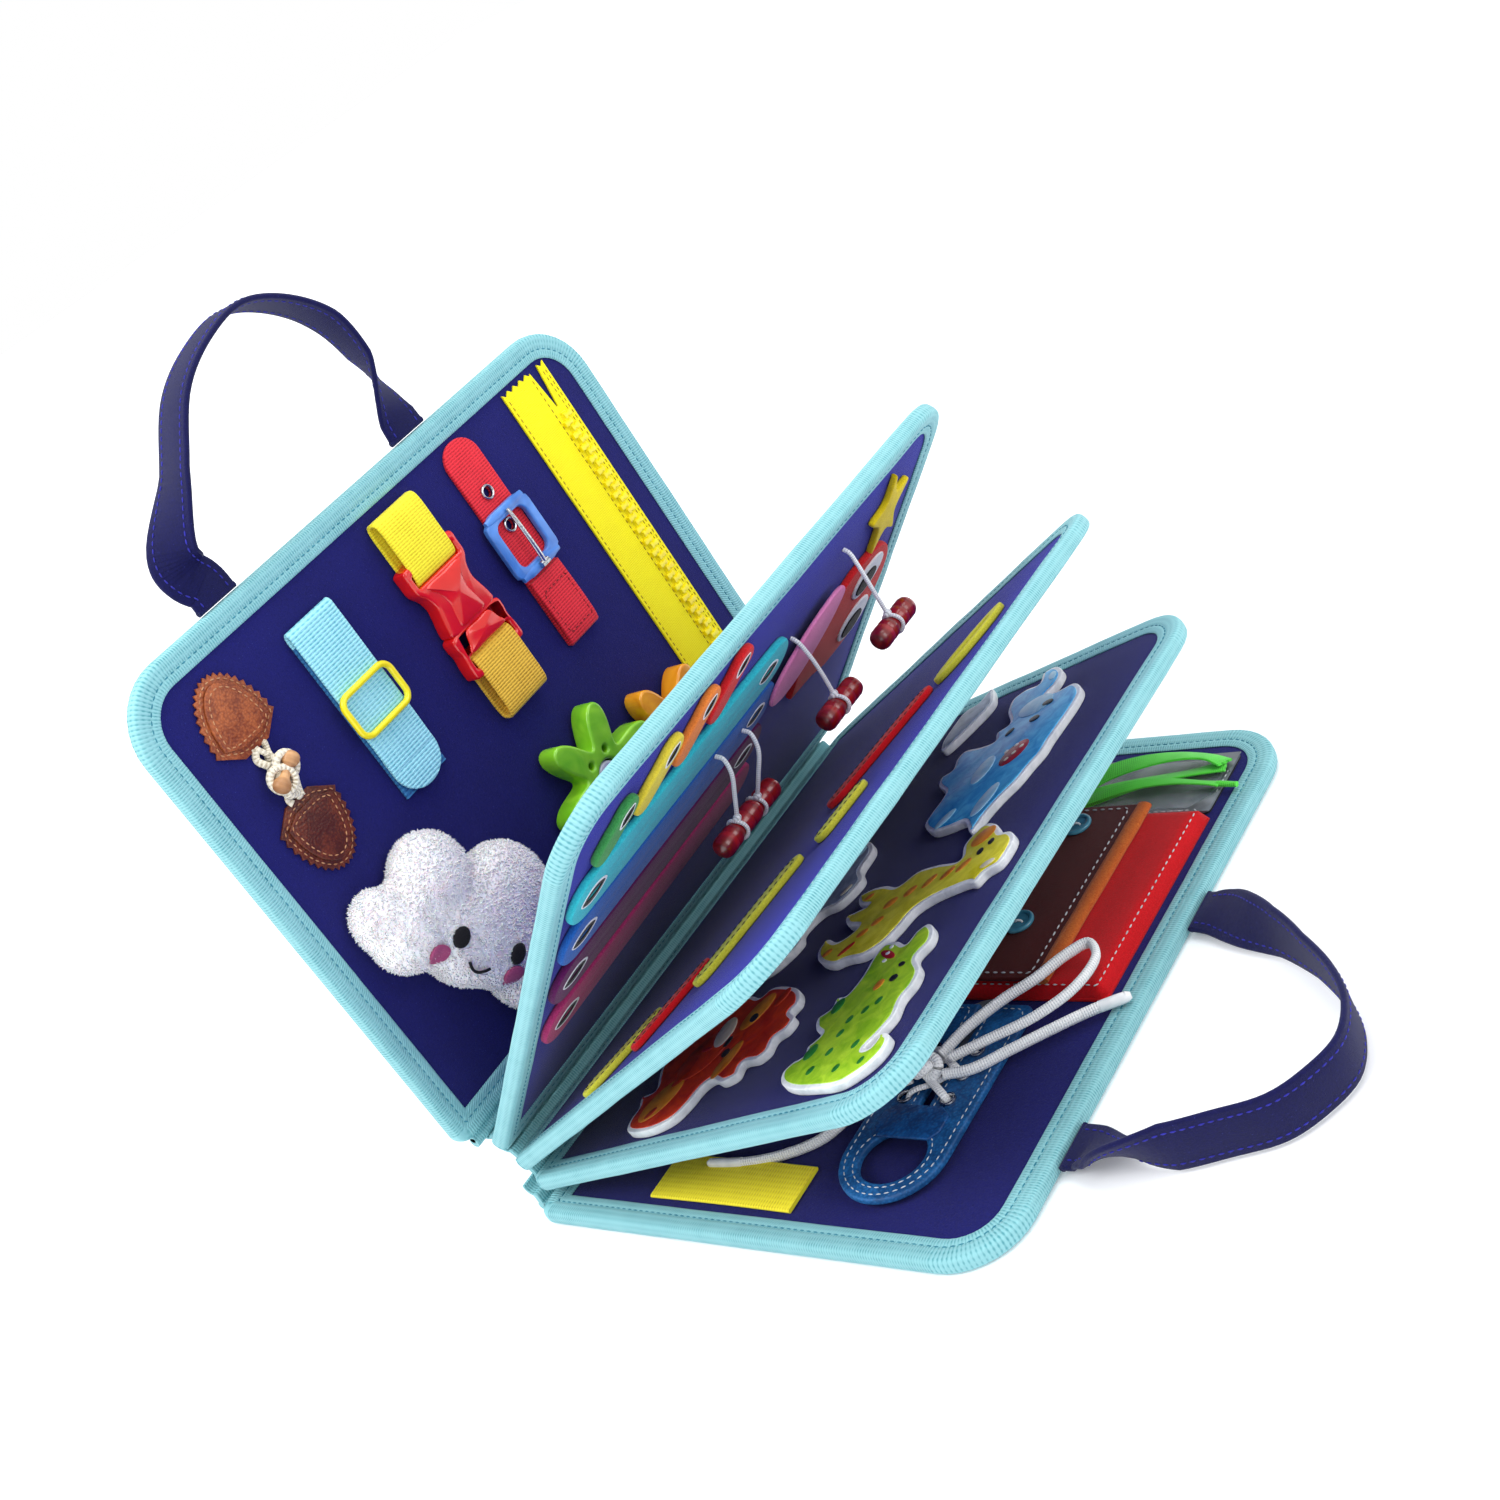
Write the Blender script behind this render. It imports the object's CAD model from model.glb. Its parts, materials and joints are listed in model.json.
import json
import math

import bmesh
import bpy
from mathutils import Matrix, Vector
from mathutils.bvhtree import BVHTree


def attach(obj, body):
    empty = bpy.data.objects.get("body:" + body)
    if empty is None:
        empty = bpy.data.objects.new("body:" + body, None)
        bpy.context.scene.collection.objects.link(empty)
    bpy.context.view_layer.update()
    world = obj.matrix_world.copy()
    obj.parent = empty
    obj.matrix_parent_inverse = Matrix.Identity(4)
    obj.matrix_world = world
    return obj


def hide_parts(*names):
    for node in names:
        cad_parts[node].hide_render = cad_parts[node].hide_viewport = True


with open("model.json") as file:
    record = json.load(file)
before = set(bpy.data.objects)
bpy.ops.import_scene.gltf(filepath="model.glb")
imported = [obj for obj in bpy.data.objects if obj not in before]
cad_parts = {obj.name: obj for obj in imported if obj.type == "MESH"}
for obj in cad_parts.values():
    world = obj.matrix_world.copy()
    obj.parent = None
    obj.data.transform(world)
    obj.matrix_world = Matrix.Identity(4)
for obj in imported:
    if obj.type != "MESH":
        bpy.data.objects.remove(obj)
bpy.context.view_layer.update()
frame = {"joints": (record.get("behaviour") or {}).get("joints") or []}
scene = bpy.context.scene
scene.view_settings.view_transform = "Standard"     # colours are given as they look in plain sRGB
mm = 0.001

# Camera and light

cameraView = {
    "lens": 48.12,
    "place": (0.4903, -0.4716, 0.4517),
    "look": (-0.6783, 0.6018, -0.4216),
    "up": (0.0712, 0.6248, 0.7775),
}
lampSetup = {                     # place, aimed at, size in metres, watts
    "windowSoftbox": ((-0.35, -0.75, 1.15), (0, 0, 0.12), 0.9, 13),
    "rightSoftbox": ((1.1, 0.15, 0.75), (0, 0, 0.1), 0.8, 5),
    "topSoftbox": ((0.1, 0.35, 1.3), (0, 0, 0.1), 1.0, 7),
}


def newObject(name, data):
    made = bpy.data.objects.new(name, data)
    scene.collection.objects.link(made)
    return made


# The mesh that an object's modifiers or curve settings give, without the object
def bakedMesh(holder):
    graph = bpy.context.evaluated_depsgraph_get()
    mesh = bpy.data.meshes.new_from_object(holder.evaluated_get(graph))
    bpy.data.objects.remove(holder)
    return mesh


def makeCamera(view):
    back = -Vector(view["look"]).normalized()
    right = Vector(view["up"]).cross(back).normalized()
    up = back.cross(right)
    turned = Matrix((right, up, back)).transposed().to_4x4()
    data = bpy.data.cameras.new("studioCamera")
    data.lens = view["lens"]
    data.sensor_width = 36
    data.clip_start = 0.01
    scene.camera = newObject("studioCamera", data)
    scene.camera.matrix_world = Matrix.Translation(view["place"]) @ turned


def makeLamps(setup):
    for name, (place, aim, size, watts) in setup.items():
        data = bpy.data.lights.new(name, "AREA")
        data.size = size
        data.energy = watts
        lamp = newObject(name, data)
        lamp.location = place
        lamp.rotation_euler = (Vector(place) - Vector(aim)).to_track_quat("Z", "Y").to_euler()


# Materials

def linearColour(hexValue):
    parts = [int(hexValue[i:i + 2], 16) / 255 for i in (1, 3, 5)]
    return tuple(c / 12.92 if c <= 0.04045 else ((c + 0.055) / 1.055) ** 2.4 for c in parts) + (1.0,)


def addNode(tree, kind, values=None, links=None):
    node = tree.nodes.new(kind)
    for key, value in (values or {}).items():
        if isinstance(key, int) or key in node.inputs:
            node.inputs[key].default_value = value
        else:
            setattr(node, key, value)
    for key, source in (links or {}).items():
        tree.links.new(source, node.inputs[key])
    return node


def startMaterial(name, shine):
    material = bpy.data.materials.new(name)
    material.use_nodes = True
    tree = material.node_tree
    tree.nodes.clear()
    shader = addNode(tree, "ShaderNodeBsdfPrincipled", shine)
    addNode(tree, "ShaderNodeOutputMaterial", None, {"Surface": shader.outputs["BSDF"]})
    return material, tree, shader


# Spreads a pattern over a range of colours, raises it as relief, and adds fine specks where they are given
def dress(tree, shader, tone, colours, relief, depth, specks=None):
    ramp = addNode(tree, "ShaderNodeValToRGB", None, {"Fac": tone})
    stops = ramp.color_ramp.elements
    while len(stops) < len(colours):
        stops.new(0.5)
    for stop, (place, colour) in zip(stops, colours):
        stop.position = place
        stop.color = linearColour(colour)
    colour = ramp.outputs["Color"]
    if specks:
        where, speckColour, size, share = specks
        cells = addNode(tree, "ShaderNodeTexVoronoi", {"Scale": 1 / (size * mm), "Randomness": 1.0},
                        {"Vector": where})
        near = addNode(tree, "ShaderNodeMapRange",
                       {"From Min": share, "From Max": share * 0.4, "To Max": 0.75},
                       {"Value": cells.outputs["Distance"]})
        mixed = addNode(tree, "ShaderNodeMix", {"data_type": "RGBA"},
                        {"Factor": near.outputs["Result"], 6: colour})
        mixed.inputs[7].default_value = linearColour(speckColour)
        colour = mixed.outputs[2]
    tree.links.new(colour, shader.inputs["Base Color"])
    bump = addNode(tree, "ShaderNodeBump", {"Strength": 0.7, "Distance": depth * mm}, {"Height": relief})
    tree.links.new(bump.outputs["Normal"], shader.inputs["Normal"])


# Needled felt: matted polyester fibres with no gloss, a soft halo at grazing angles and pale lint
def feltMaterial(name, dark, light, fibre=0.8, lint=None):
    material, tree, shader = startMaterial(name, {"Roughness": 0.93, "Sheen Weight": 0.12,
                                                  "Sheen Roughness": 0.5,
                                                  "Specular IOR Level": 0.2})
    place = addNode(tree, "ShaderNodeTexCoord").outputs["Object"]
    fibres = addNode(tree, "ShaderNodeTexNoise", {"Scale": 1 / (fibre * mm), "Detail": 5.0, "Roughness": 0.65,
                                                  "Distortion": 1.4}, {"Vector": place})
    matting = addNode(tree, "ShaderNodeTexNoise", {"Scale": 1 / (22 * mm), "Detail": 2.0}, {"Vector": place})
    tone = addNode(tree, "ShaderNodeMath", {"operation": "MULTIPLY_ADD", 1: 0.2},
                   {0: matting.outputs["Fac"], 2: fibres.outputs["Fac"]})
    dress(tree, shader, tone.outputs[0], [(0.36, dark), (0.84, light)], fibres.outputs["Fac"], 0.35,
          (place, lint, 1.9, 0.09) if lint else None)
    return material


# Woven tape: ribs across the tape, rows of warp threads along it, both drawn coarser so that they show
def wovenMaterial(name, dark, light, rib, row, depth=0.3, sheen=0.1):
    material, tree, shader = startMaterial(name, {"Roughness": 0.72, "Sheen Weight": sheen,
                                                  "Sheen Roughness": 0.4,
                                                  "Specular IOR Level": 0.35})
    cloth = addNode(tree, "ShaderNodeUVMap", {"uv_map": "cloth"}).outputs["UV"]
    place = addNode(tree, "ShaderNodeTexCoord").outputs["Object"]
    across = addNode(tree, "ShaderNodeTexWave",
                     {"bands_direction": "X", "Scale": 0.314 / rib, "Distortion": 0.5,
                      "Detail Scale": 2.0}, {"Vector": cloth})
    along = addNode(tree, "ShaderNodeTexWave",
                    {"bands_direction": "Y", "Scale": 0.314 / row, "Distortion": 0.4},
                    {"Vector": cloth})
    weave = addNode(tree, "ShaderNodeMath", {"operation": "MULTIPLY_ADD", 1: 0.35},
                    {0: along.outputs["Fac"], 2: across.outputs["Fac"]})
    wear = addNode(tree, "ShaderNodeTexNoise", {"Scale": 1 / (9 * mm), "Detail": 3.0}, {"Vector": place})
    tone = addNode(tree, "ShaderNodeMath", {"operation": "MULTIPLY_ADD", 1: 0.8},
                   {0: wear.outputs["Fac"], 2: weave.outputs[0]})
    dress(tree, shader, tone.outputs[0], [(0.3, dark), (1.4, light)], weave.outputs[0], depth)
    return material


# Injection-moulded plastic: smooth, hard, a bright even gloss over faint flow marks
def mouldedMaterial(name, dark, light, roughness=0.24, coat=0.25):
    material, tree, shader = startMaterial(name, {"Roughness": roughness, "Coat Weight": coat,
                                                  "Coat Roughness": 0.08,
                                                  "IOR": 1.53})
    place = addNode(tree, "ShaderNodeTexCoord").outputs["Object"]
    flow = addNode(tree, "ShaderNodeTexNoise", {"Scale": 1 / (14 * mm), "Detail": 2.0, "Distortion": 0.8},
                   {"Vector": place})
    skin = addNode(tree, "ShaderNodeTexNoise", {"Scale": 1 / (1.6 * mm), "Detail": 2.0}, {"Vector": place})
    dress(tree, shader, flow.outputs["Fac"], [(0.25, dark), (0.75, light)], skin.outputs["Fac"], 0.04)
    return material


# Grained leather: small raised cells with darker creases and a low waxed gloss
def leatherMaterial(name, dark, light, grain=1.1, roughness=0.5, relief=0.28):
    material, tree, shader = startMaterial(name, {"Roughness": roughness, "Specular IOR Level": 0.45})
    place = addNode(tree, "ShaderNodeTexCoord").outputs["Object"]
    cells = addNode(tree, "ShaderNodeTexVoronoi",
                    {"feature": "SMOOTH_F1", "Scale": 1 / (grain * mm), "Smoothness": 0.6},
                    {"Vector": place})
    worn = addNode(tree, "ShaderNodeTexNoise", {"Scale": 1 / (8 * mm), "Detail": 4.0}, {"Vector": place})
    tone = addNode(tree, "ShaderNodeMath", {"operation": "MULTIPLY_ADD", 1: -0.45},
                   {0: cells.outputs["Distance"], 2: worn.outputs["Fac"]})
    raised = addNode(tree, "ShaderNodeMath", {"operation": "MULTIPLY", 1: -1.0},
                     {0: cells.outputs["Distance"]})
    dress(tree, shader, tone.outputs[0], [(0.15, dark), (0.6, light)], raised.outputs[0], relief)
    return material


# Turned wood: grain that runs along the piece, under a coat of lacquer
def woodMaterial(name, dark, light, coat, roughness):
    material, tree, shader = startMaterial(name, {"Roughness": roughness, "Coat Weight": coat,
                                                  "Coat Roughness": 0.12})
    cloth = addNode(tree, "ShaderNodeUVMap", {"uv_map": "cloth"}).outputs["UV"]
    stretched = addNode(tree, "ShaderNodeMapping", {"Scale": (0.12, 1.3, 1.0)}, {"Vector": cloth})
    grain = addNode(tree, "ShaderNodeTexNoise", {"Scale": 1.4, "Detail": 6.0, "Distortion": 0.6},
                    {"Vector": stretched.outputs["Vector"]})
    dress(tree, shader, grain.outputs["Fac"], [(0.3, dark), (0.7, light)], grain.outputs["Fac"], 0.1)
    return material


# Printed foam: a smooth printed film on closed-cell foam, slightly mottled like wet ink
def printedMaterial(name, dark, light, roughness=0.42):
    material, tree, shader = startMaterial(name, {"Roughness": roughness, "Specular IOR Level": 0.5})
    place = addNode(tree, "ShaderNodeTexCoord").outputs["Object"]
    ink = addNode(tree, "ShaderNodeTexNoise", {"Scale": 1 / (7 * mm), "Detail": 3.0, "Distortion": 0.9},
                  {"Vector": place})
    pores = addNode(tree, "ShaderNodeTexVoronoi", {"Scale": 1 / (0.9 * mm)}, {"Vector": place})
    dress(tree, shader, ink.outputs["Fac"], [(0.3, dark), (0.68, light)], pores.outputs["Distance"], 0.06)
    return material


# Short-pile plush: dense soft polyester pile, matt with a pale halo
def plushMaterial(name, dark, light):
    material, tree, shader = startMaterial(name, {"Roughness": 0.95, "Sheen Weight": 0.6,
                                                  "Sheen Roughness": 0.6,
                                                  "Specular IOR Level": 0.1, "Subsurface Weight": 0.3,
                                                  "Subsurface Scale": 4 * mm})
    place = addNode(tree, "ShaderNodeTexCoord").outputs["Object"]
    pile = addNode(tree, "ShaderNodeTexNoise", {"Scale": 1 / (1.5 * mm), "Detail": 5.0, "Roughness": 0.7},
                   {"Vector": place})
    brushed = addNode(tree, "ShaderNodeTexNoise", {"Scale": 1 / (9 * mm), "Detail": 2.0}, {"Vector": place})
    tone = addNode(tree, "ShaderNodeMath", {"operation": "MULTIPLY_ADD", 1: 0.5},
                   {0: pile.outputs["Fac"], 2: brushed.outputs["Fac"]})
    dress(tree, shader, tone.outputs[0], [(0.45, dark), (0.9, light)], pile.outputs["Fac"], 0.35)
    return material


# Nickel-plated brass: mirror-like, with fine handling marks
def platedMaterial(name, dark, light, roughness=0.22):
    material, tree, shader = startMaterial(name, {"Roughness": roughness, "Metallic": 1.0})
    place = addNode(tree, "ShaderNodeTexCoord").outputs["Object"]
    marks = addNode(tree, "ShaderNodeTexNoise", {"Scale": 1 / (0.8 * mm), "Detail": 3.0}, {"Vector": place})
    dress(tree, shader, marks.outputs["Fac"], [(0.3, dark), (0.7, light)], marks.outputs["Fac"], 0.02)
    return material


# Soft clear vinyl film: glossy, faintly grey, with slow waves from handling
def vinylMaterial(name, dark, light, alpha):
    material, tree, shader = startMaterial(name, {"Roughness": 0.12, "Alpha": alpha, "Coat Weight": 0.5,
                                                  "IOR": 1.5})
    place = addNode(tree, "ShaderNodeTexCoord").outputs["Object"]
    waves = addNode(tree, "ShaderNodeTexNoise", {"Scale": 1 / (16 * mm), "Detail": 2.0, "Distortion": 1.0},
                    {"Vector": place})
    dress(tree, shader, waves.outputs["Fac"], [(0.3, dark), (0.7, light)], waves.outputs["Fac"], 1.2)
    return material


# Each finish: the real one's name, its two colours from dark to light, then what its kind takes
finishes = {
    feltMaterial: {
        "navyFelt": ("navyNeedledFelt", "#0a0b4a", "#16186e", 0.8, "#3c4aa8"),
        "royalFelt": ("royalBlueNeedledFelt", "#0a0c72", "#161ea6", 0.8, "#4c60e0"),
        "strap": ("navyStrapFelt", "#05062e", "#0e1052", 0.7, "#3c46a0"),
        "redFelt": ("redPouchFelt", "#b4060c", "#e81420", 0.7),
        "darkRedFelt": ("darkRedFlapFelt", "#3a0507", "#5e0e0c", 0.7),
        "amberFelt": ("amberPipingFelt", "#b04018", "#dc7c34", 0.7),
        "greyFelt": ("greyTongueFelt", "#3e434c", "#777d88", 0.7),
        "blackLining": ("blackPocketLining", "#0c0c10", "#2b2c34", 0.8),
        "yellowFelt": ("yellowFelt", "#c8a80c", "#fbe41c", 0.7),
        "limeFelt": ("limeYellowFelt", "#a8a81c", "#e6e04c", 0.7),
        "pinkFelt": ("pinkFelt", "#d868a4", "#f89cd0", 0.7),
        "blackFelt": ("blackPupilFelt", "#050507", "#1c1c22", 0.7),
        "whiteFelt": ("whiteEyeFelt", "#c9ccd4", "#fbfbff", 0.7),
        "blush": ("blushEmbroidery", "#8a3258", "#b85a86", 0.5),
    },
    wovenMaterial: {
        "tape": ("aquaGrosgrainTape", "#4f98a2", "#8cc6cc", 1.15, 2.6, 0.3),
        "lace": ("whiteCottonLace", "#c4c6cc", "#ffffff", 1.0, 1.4, 0.3, 0.2),
        "whiteCord": ("whiteWaxedCord", "#b0b0b8", "#f6f6fa", 0.9, 0.8, 0.15),
        "greenRibbon": ("greenSatinRibbon", "#1f9a1c", "#63ec4a", 0.9, 1.1, 0.1, 0.3),
        "yellowZip": ("yellowZipTape", "#f0d800", "#fff200", 0.9, 1.2, 0.18),
        "redWebbing": ("redCottonWebbing", "#a80a18", "#e82838", 1.3, 2.1, 0.3),
        "yellowWebbing": ("yellowNylonWebbing", "#dcc010", "#fdec30", 1.3, 2.4, 0.2),
        "ochreWebbing": ("ochreNylonWebbing", "#b88414", "#f4c440", 1.3, 2.4, 0.3),
        "aquaWebbing": ("aquaRibbedWebbing", "#52acc2", "#a2e6f2", 1.5, 3.0, 0.35),
        "deepAquaWebbing": ("deepAquaWebbing", "#123f7c", "#2f76ac", 2.0, 3.0, 0.5),
        "tanThread": ("tanSewingThread", "#b07850", "#e6bc92", 0.5, 0.5, 0.05),
        "whiteThread": ("whiteSewingThread", "#c4c8cc", "#ffffff", 0.5, 0.5, 0.05),
        "tealThread": ("tealSewingThread", "#2f7c90", "#58a8ba", 0.5, 0.5, 0.05),
        "blackThread": ("blackSewingThread", "#08080c", "#26262e", 0.5, 0.5, 0.05),
        "ochreThread": ("ochreSewingThread", "#9a7c08", "#c8a818", 0.5, 0.5, 0.05),
        "darkRedThread": ("darkRedSewingThread", "#5a0610", "#8a1420", 0.5, 0.5, 0.05),
        "navyThread": ("navySewingThread", "#1a1a8a", "#3c3cd0", 0.5, 0.5, 0.05),
        "braid": ("creamCottonBraid", "#b8a98a", "#f4ecd8", 1.6, 2.2, 0.6, 0.2),
    },
    mouldedMaterial: {
        "tealPlastic": ("tealButtonPlastic", "#2c6f88", "#58a3ba", 0.2),
        "silver": ("silverFoilCorner", "#3a3d42", "#8f959c", 0.3),
        "yellowTeeth": ("yellowAcetalTeeth", "#f6da00", "#fff200", 0.3),
        "bluePlastic": ("blueBucklePlastic", "#2c66b8", "#5a9cf0", 0.3),
        "redPlastic": ("redReleaseBuckle", "#d01008", "#e81c0e", 0.2, 0.5),
        "yellowPlastic": ("yellowRingPlastic", "#f0d800", "#fff200", 0.3),
        "greenPlastic": ("greenGearPlastic", "#62b80c", "#9ae030", 0.2, 0.35),
        "orangePlastic": ("orangeGearPlastic", "#e08408", "#ffb422", 0.2, 0.35),
        "whitePlastic": ("whiteHubPlastic", "#cfd3d8", "#ffffff", 0.25),
        "darkPlastic": ("darkHolePlastic", "#0c1408", "#1c2a14", 0.5),
    },
    leatherMaterial: {
        "shoeLeather": ("blueShoeLeatherette", "#104a80", "#2574b8", 1.2, 0.55, 0.35),
        "shoeTrim": ("deepBlueShoeTrim", "#0a3a70", "#1c65ac", 1.2, 0.5),
        "brownLeather": ("brownTabLeather", "#783416", "#b4602e", 1.0, 0.42),
        "darkLeather": ("darkTabLeather", "#4a1a0a", "#7c3618", 1.0, 0.42),
    },
    platedMaterial: {
        "nickel": ("nickelEyeletBrass", "#8d9096", "#d6d7da"),
    },
    vinylMaterial: {
        "vinyl": ("clearVinylFilm", "#aab4bc", "#e6ecf0", 0.3),
    },
    printedMaterial: {
        "whiteFoam": ("whiteClosedCellFoam", "#dfe2e4", "#ffffff", 0.6),
    },
    woodMaterial: {
        "rawWood": ("turnedBeechToggle", "#8e5a30", "#dca873", 0.15, 0.5),
        "redWood": ("lacqueredRedWood", "#5a0608", "#b01c1c", 0.7, 0.28),
    },
    plushMaterial: {
        "plush": ("whiteShortPlush", "#fbeef0", "#fffbfa"),
    },
}
materials = {key: make(*values) for make, rows in finishes.items() for key, values in rows.items()}
armColours = {
    "red": ("#a80c10", "#e8242a"), "orange": ("#c85c18", "#fb9440"), "yellow": ("#c2ac1c", "#f8e44a"),
    "green": ("#1f6e30", "#4caa5c"), "cyan": ("#0f93a8", "#3cd2dc"), "blue": ("#0c4490", "#2470cc"),
    "purple": ("#3a0436", "#6e1462"), "magenta": ("#82184a", "#cc4080"),
}
for armName, (armDark, armLight) in armColours.items():
    materials["arm_" + armName] = feltMaterial(armName + "ArmFelt", armDark, armLight, 0.7)
animalInks = {
    "elephant": ("#1c9ade", "#64d0fc"), "giraffe": ("#dace0c", "#fdf24c"),
    "crocodile": ("#86c40c", "#c4ea34"),
    "lion": ("#c8220c", "#ee4a18"), "hippo": ("#74829a", "#aab6c8"), "spotOrange": ("#dc7410", "#f8a434"),
    "mane": ("#b41c08", "#e0481c"), "muzzle": ("#e0d2b0", "#fbf4e0"), "spotGreen": ("#1c6c24", "#3c9c3c"),
    "saddle": ("#8a1018", "#cc2430"), "paleBlue": ("#8ccfe8", "#c8ecf8"), "ink": ("#101014", "#2a2a30"),
}
for inkName, (inkDark, inkLight) in animalInks.items():
    materials[inkName] = printedMaterial(inkName + "Print", inkDark, inkLight)
print("materials made:", len(materials))

# Places: a leaf's own millimetres become metres of the row

leafAngles = {"right_cover": 0, "page_3": 15.5, "page_2": 28, "page_1": 45, "left_cover": 94.5}
boardTop = 2.3                    # where a sewn piece's underside lies above the leaf's middle plane
jointPlaces = {joint["name"]: joint.get("pos_m") for joint in frame["joints"]}
leafStarts = {leaf: Vector(jointPlaces[leaf + "_turn"]) for leaf in list(leafAngles)[1:]}
leafStarts["right_cover"] = leafStarts["page_3"] - Vector((0, 0, 10 * mm))


def leafPlace(leaf, side):
    angle = math.radians(leafAngles[leaf])
    out = Vector((math.cos(angle), 0, math.sin(angle)))
    off = Vector((-math.sin(angle), 0, math.cos(angle)))
    turned = Matrix((out, Vector((0, side, 0)), off * side)).transposed().to_4x4()
    return Matrix.Translation(leafStarts[leaf]) @ turned @ Matrix.Scale(mm, 4)


# A spot on a leaf's face: u from the spine, v along it, the lift above the board, and a turn in degrees
def spot(leaf, side, u, v, lift=0, turn=0):
    moved = Matrix.Translation((u, side * v, boardTop + lift))
    return leafPlace(leaf, side) @ moved @ Matrix.Rotation(math.radians(turn), 4, "Z")


# Shapes

def setCloth(mesh, pairs):
    layer = mesh.uv_layers.new(name="cloth")
    for loop, pair in zip(layer.data, pairs):
        loop.uv = pair


# A mesh from points, faces and the cloth coordinate of each face corner
def shapeMesh(points, faces, corners=None):
    mesh = bpy.data.meshes.new("shape")
    mesh.from_pydata([tuple(p) for p in points], [], faces)
    if corners is None:
        corners = [[(points[i][0], points[i][1]) for i in face] for face in faces]
    setCloth(mesh, [pair for face in corners for pair in face])
    return mesh


def tidyNormals(mesh, weld=1e-4):
    work = bmesh.new()
    work.from_mesh(mesh)
    bmesh.ops.remove_doubles(work, verts=work.verts, dist=weld)
    bmesh.ops.recalc_face_normals(work, faces=work.faces)
    work.to_mesh(mesh)
    work.free()


def joinMeshes(parts):
    work = bmesh.new()
    for part in parts:
        work.from_mesh(part)
    mesh = bpy.data.meshes.new("shape")
    work.to_mesh(mesh)
    work.free()
    return mesh


# Turns a mesh into a piece on a body; stands names the CAD node that it takes the place of
def finishPiece(name, mesh, material, place, body, slot, sharp=38, tidy=True, stands=None):
    if tidy:
        tidyNormals(mesh)
    mesh.transform(place)
    mesh.name = name
    mesh.materials.clear()
    mesh.materials.append(materials[material])
    mesh.polygons.foreach_set("use_smooth", [True] * len(mesh.polygons))
    mesh.set_sharp_from_angle(angle=math.radians(sharp))
    piece = newObject(name, mesh)
    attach(piece, body)
    if stands:
        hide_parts(stands)
    return piece


# Turns an outline with holes into a plate whose rims are rounded
def plateMesh(loops, bottom, thick, rounding=0.4, steps=2):
    data = bpy.data.curves.new("outline", "CURVE")
    data.dimensions = "2D"
    data.fill_mode = "BOTH"
    data.extrude = thick / 2 - rounding
    data.bevel_depth = rounding
    data.bevel_resolution = steps
    data.offset = -rounding
    for number, loop in enumerate(loops):
        area = sum(a[0] * b[1] - b[0] * a[1] for a, b in zip(loop, loop[1:] + loop[:1]))
        ordered = loop if (area > 0) == (number == 0) else loop[::-1]
        spline = data.splines.new("POLY")
        spline.points.add(len(ordered) - 1)
        spline.use_cyclic_u = True
        for point, (x, y) in zip(spline.points, ordered):
            point.co = (x, y, 0, 1)
    mesh = bakedMesh(newObject("outline", data))
    for layer in list(mesh.uv_layers):
        mesh.uv_layers.remove(layer)
    mesh.transform(Matrix.Translation((0, 0, bottom + thick / 2)))
    tidyNormals(mesh)
    setCloth(mesh, [mesh.vertices[loop.vertex_index].co[:2] for loop in mesh.loops])
    return mesh


# Joins rings of equal length into a skin, which closes on itself or ends in two caps
def skinMesh(rings, lengths, closed=False, capped=True):
    count = len(rings[0])
    around = [0.0]
    for a, b in zip(rings[0], rings[0][1:] + rings[0][:1]):
        around.append(around[-1] + (Vector(a) - Vector(b)).length)
    points = [p for ring in rings for p in ring]
    faces, corners = [], []
    for i in range(len(rings) if closed else len(rings) - 1):
        j = (i + 1) % len(rings)
        for k in range(count):
            m = (k + 1) % count
            faces.append((i * count + k, j * count + k, j * count + m, i * count + m))
            corners.append([(lengths[i], around[k]), (lengths[i + 1], around[k]),
                            (lengths[i + 1], around[k + 1]), (lengths[i], around[k + 1])])
    if capped and not closed:
        for ring in (range(count), range(len(points) - count, len(points))):
            faces.append(tuple(ring))
            corners.append([(points[i][0], points[i][1]) for i in ring])
    return shapeMesh(points, faces, corners)


# A smooth path through points, spaced by the square root of their distances
def smoothPath(points, steps, closed=False):
    points = [Vector(p) for p in points]
    last = len(points) - 1
    path = []
    for i in range(steps + 1):
        place = (last + closed) * i / steps
        k = min(int(place), last + closed - 1)
        share = place - k
        p1 = points[k]
        p2 = points[(k + 1) % len(points)]
        p0 = points[k - 1] if k > 0 or closed else 2 * p1 - p2
        p3 = points[(k + 2) % len(points)] if k + 2 <= last or closed else 2 * p2 - p1
        d0, d1, d2 = (max((b - a).length, 1e-6) ** 0.5 for a, b in ((p0, p1), (p1, p2), (p2, p3)))
        t1 = ((p1 - p0) / d0 - (p2 - p0) / (d0 + d1) + (p2 - p1) / d1) * d1
        t2 = ((p2 - p1) / d1 - (p3 - p1) / (d1 + d2) + (p3 - p2) / d2) * d1
        path.append(p1 + t1 * share + (3 * (p2 - p1) - 2 * t1 - t2) * share ** 2
                    + (2 * (p1 - p2) + t1 + t2) * share ** 3)
    return path[:-1] if closed else path


# A closed outline drawn smoothly through points, with a given count of steps
def smoothLoop(points, steps):
    return [(p.x, p.y) for p in smoothPath([(x, y, 0) for x, y in points], steps, True)]


# A smooth outline through points given as shares of its length and height
def smoothOutline(shares, length, height, steps=8):
    return smoothLoop([((x - 0.5) * length, (y - 0.5) * height) for x, y in shares], len(shares) * steps)


def pathLengths(path):
    lengths = [0.0]
    for a, b in zip(path, path[1:]):
        lengths.append(lengths[-1] + (Vector(b) - Vector(a)).length)
    return lengths


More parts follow.
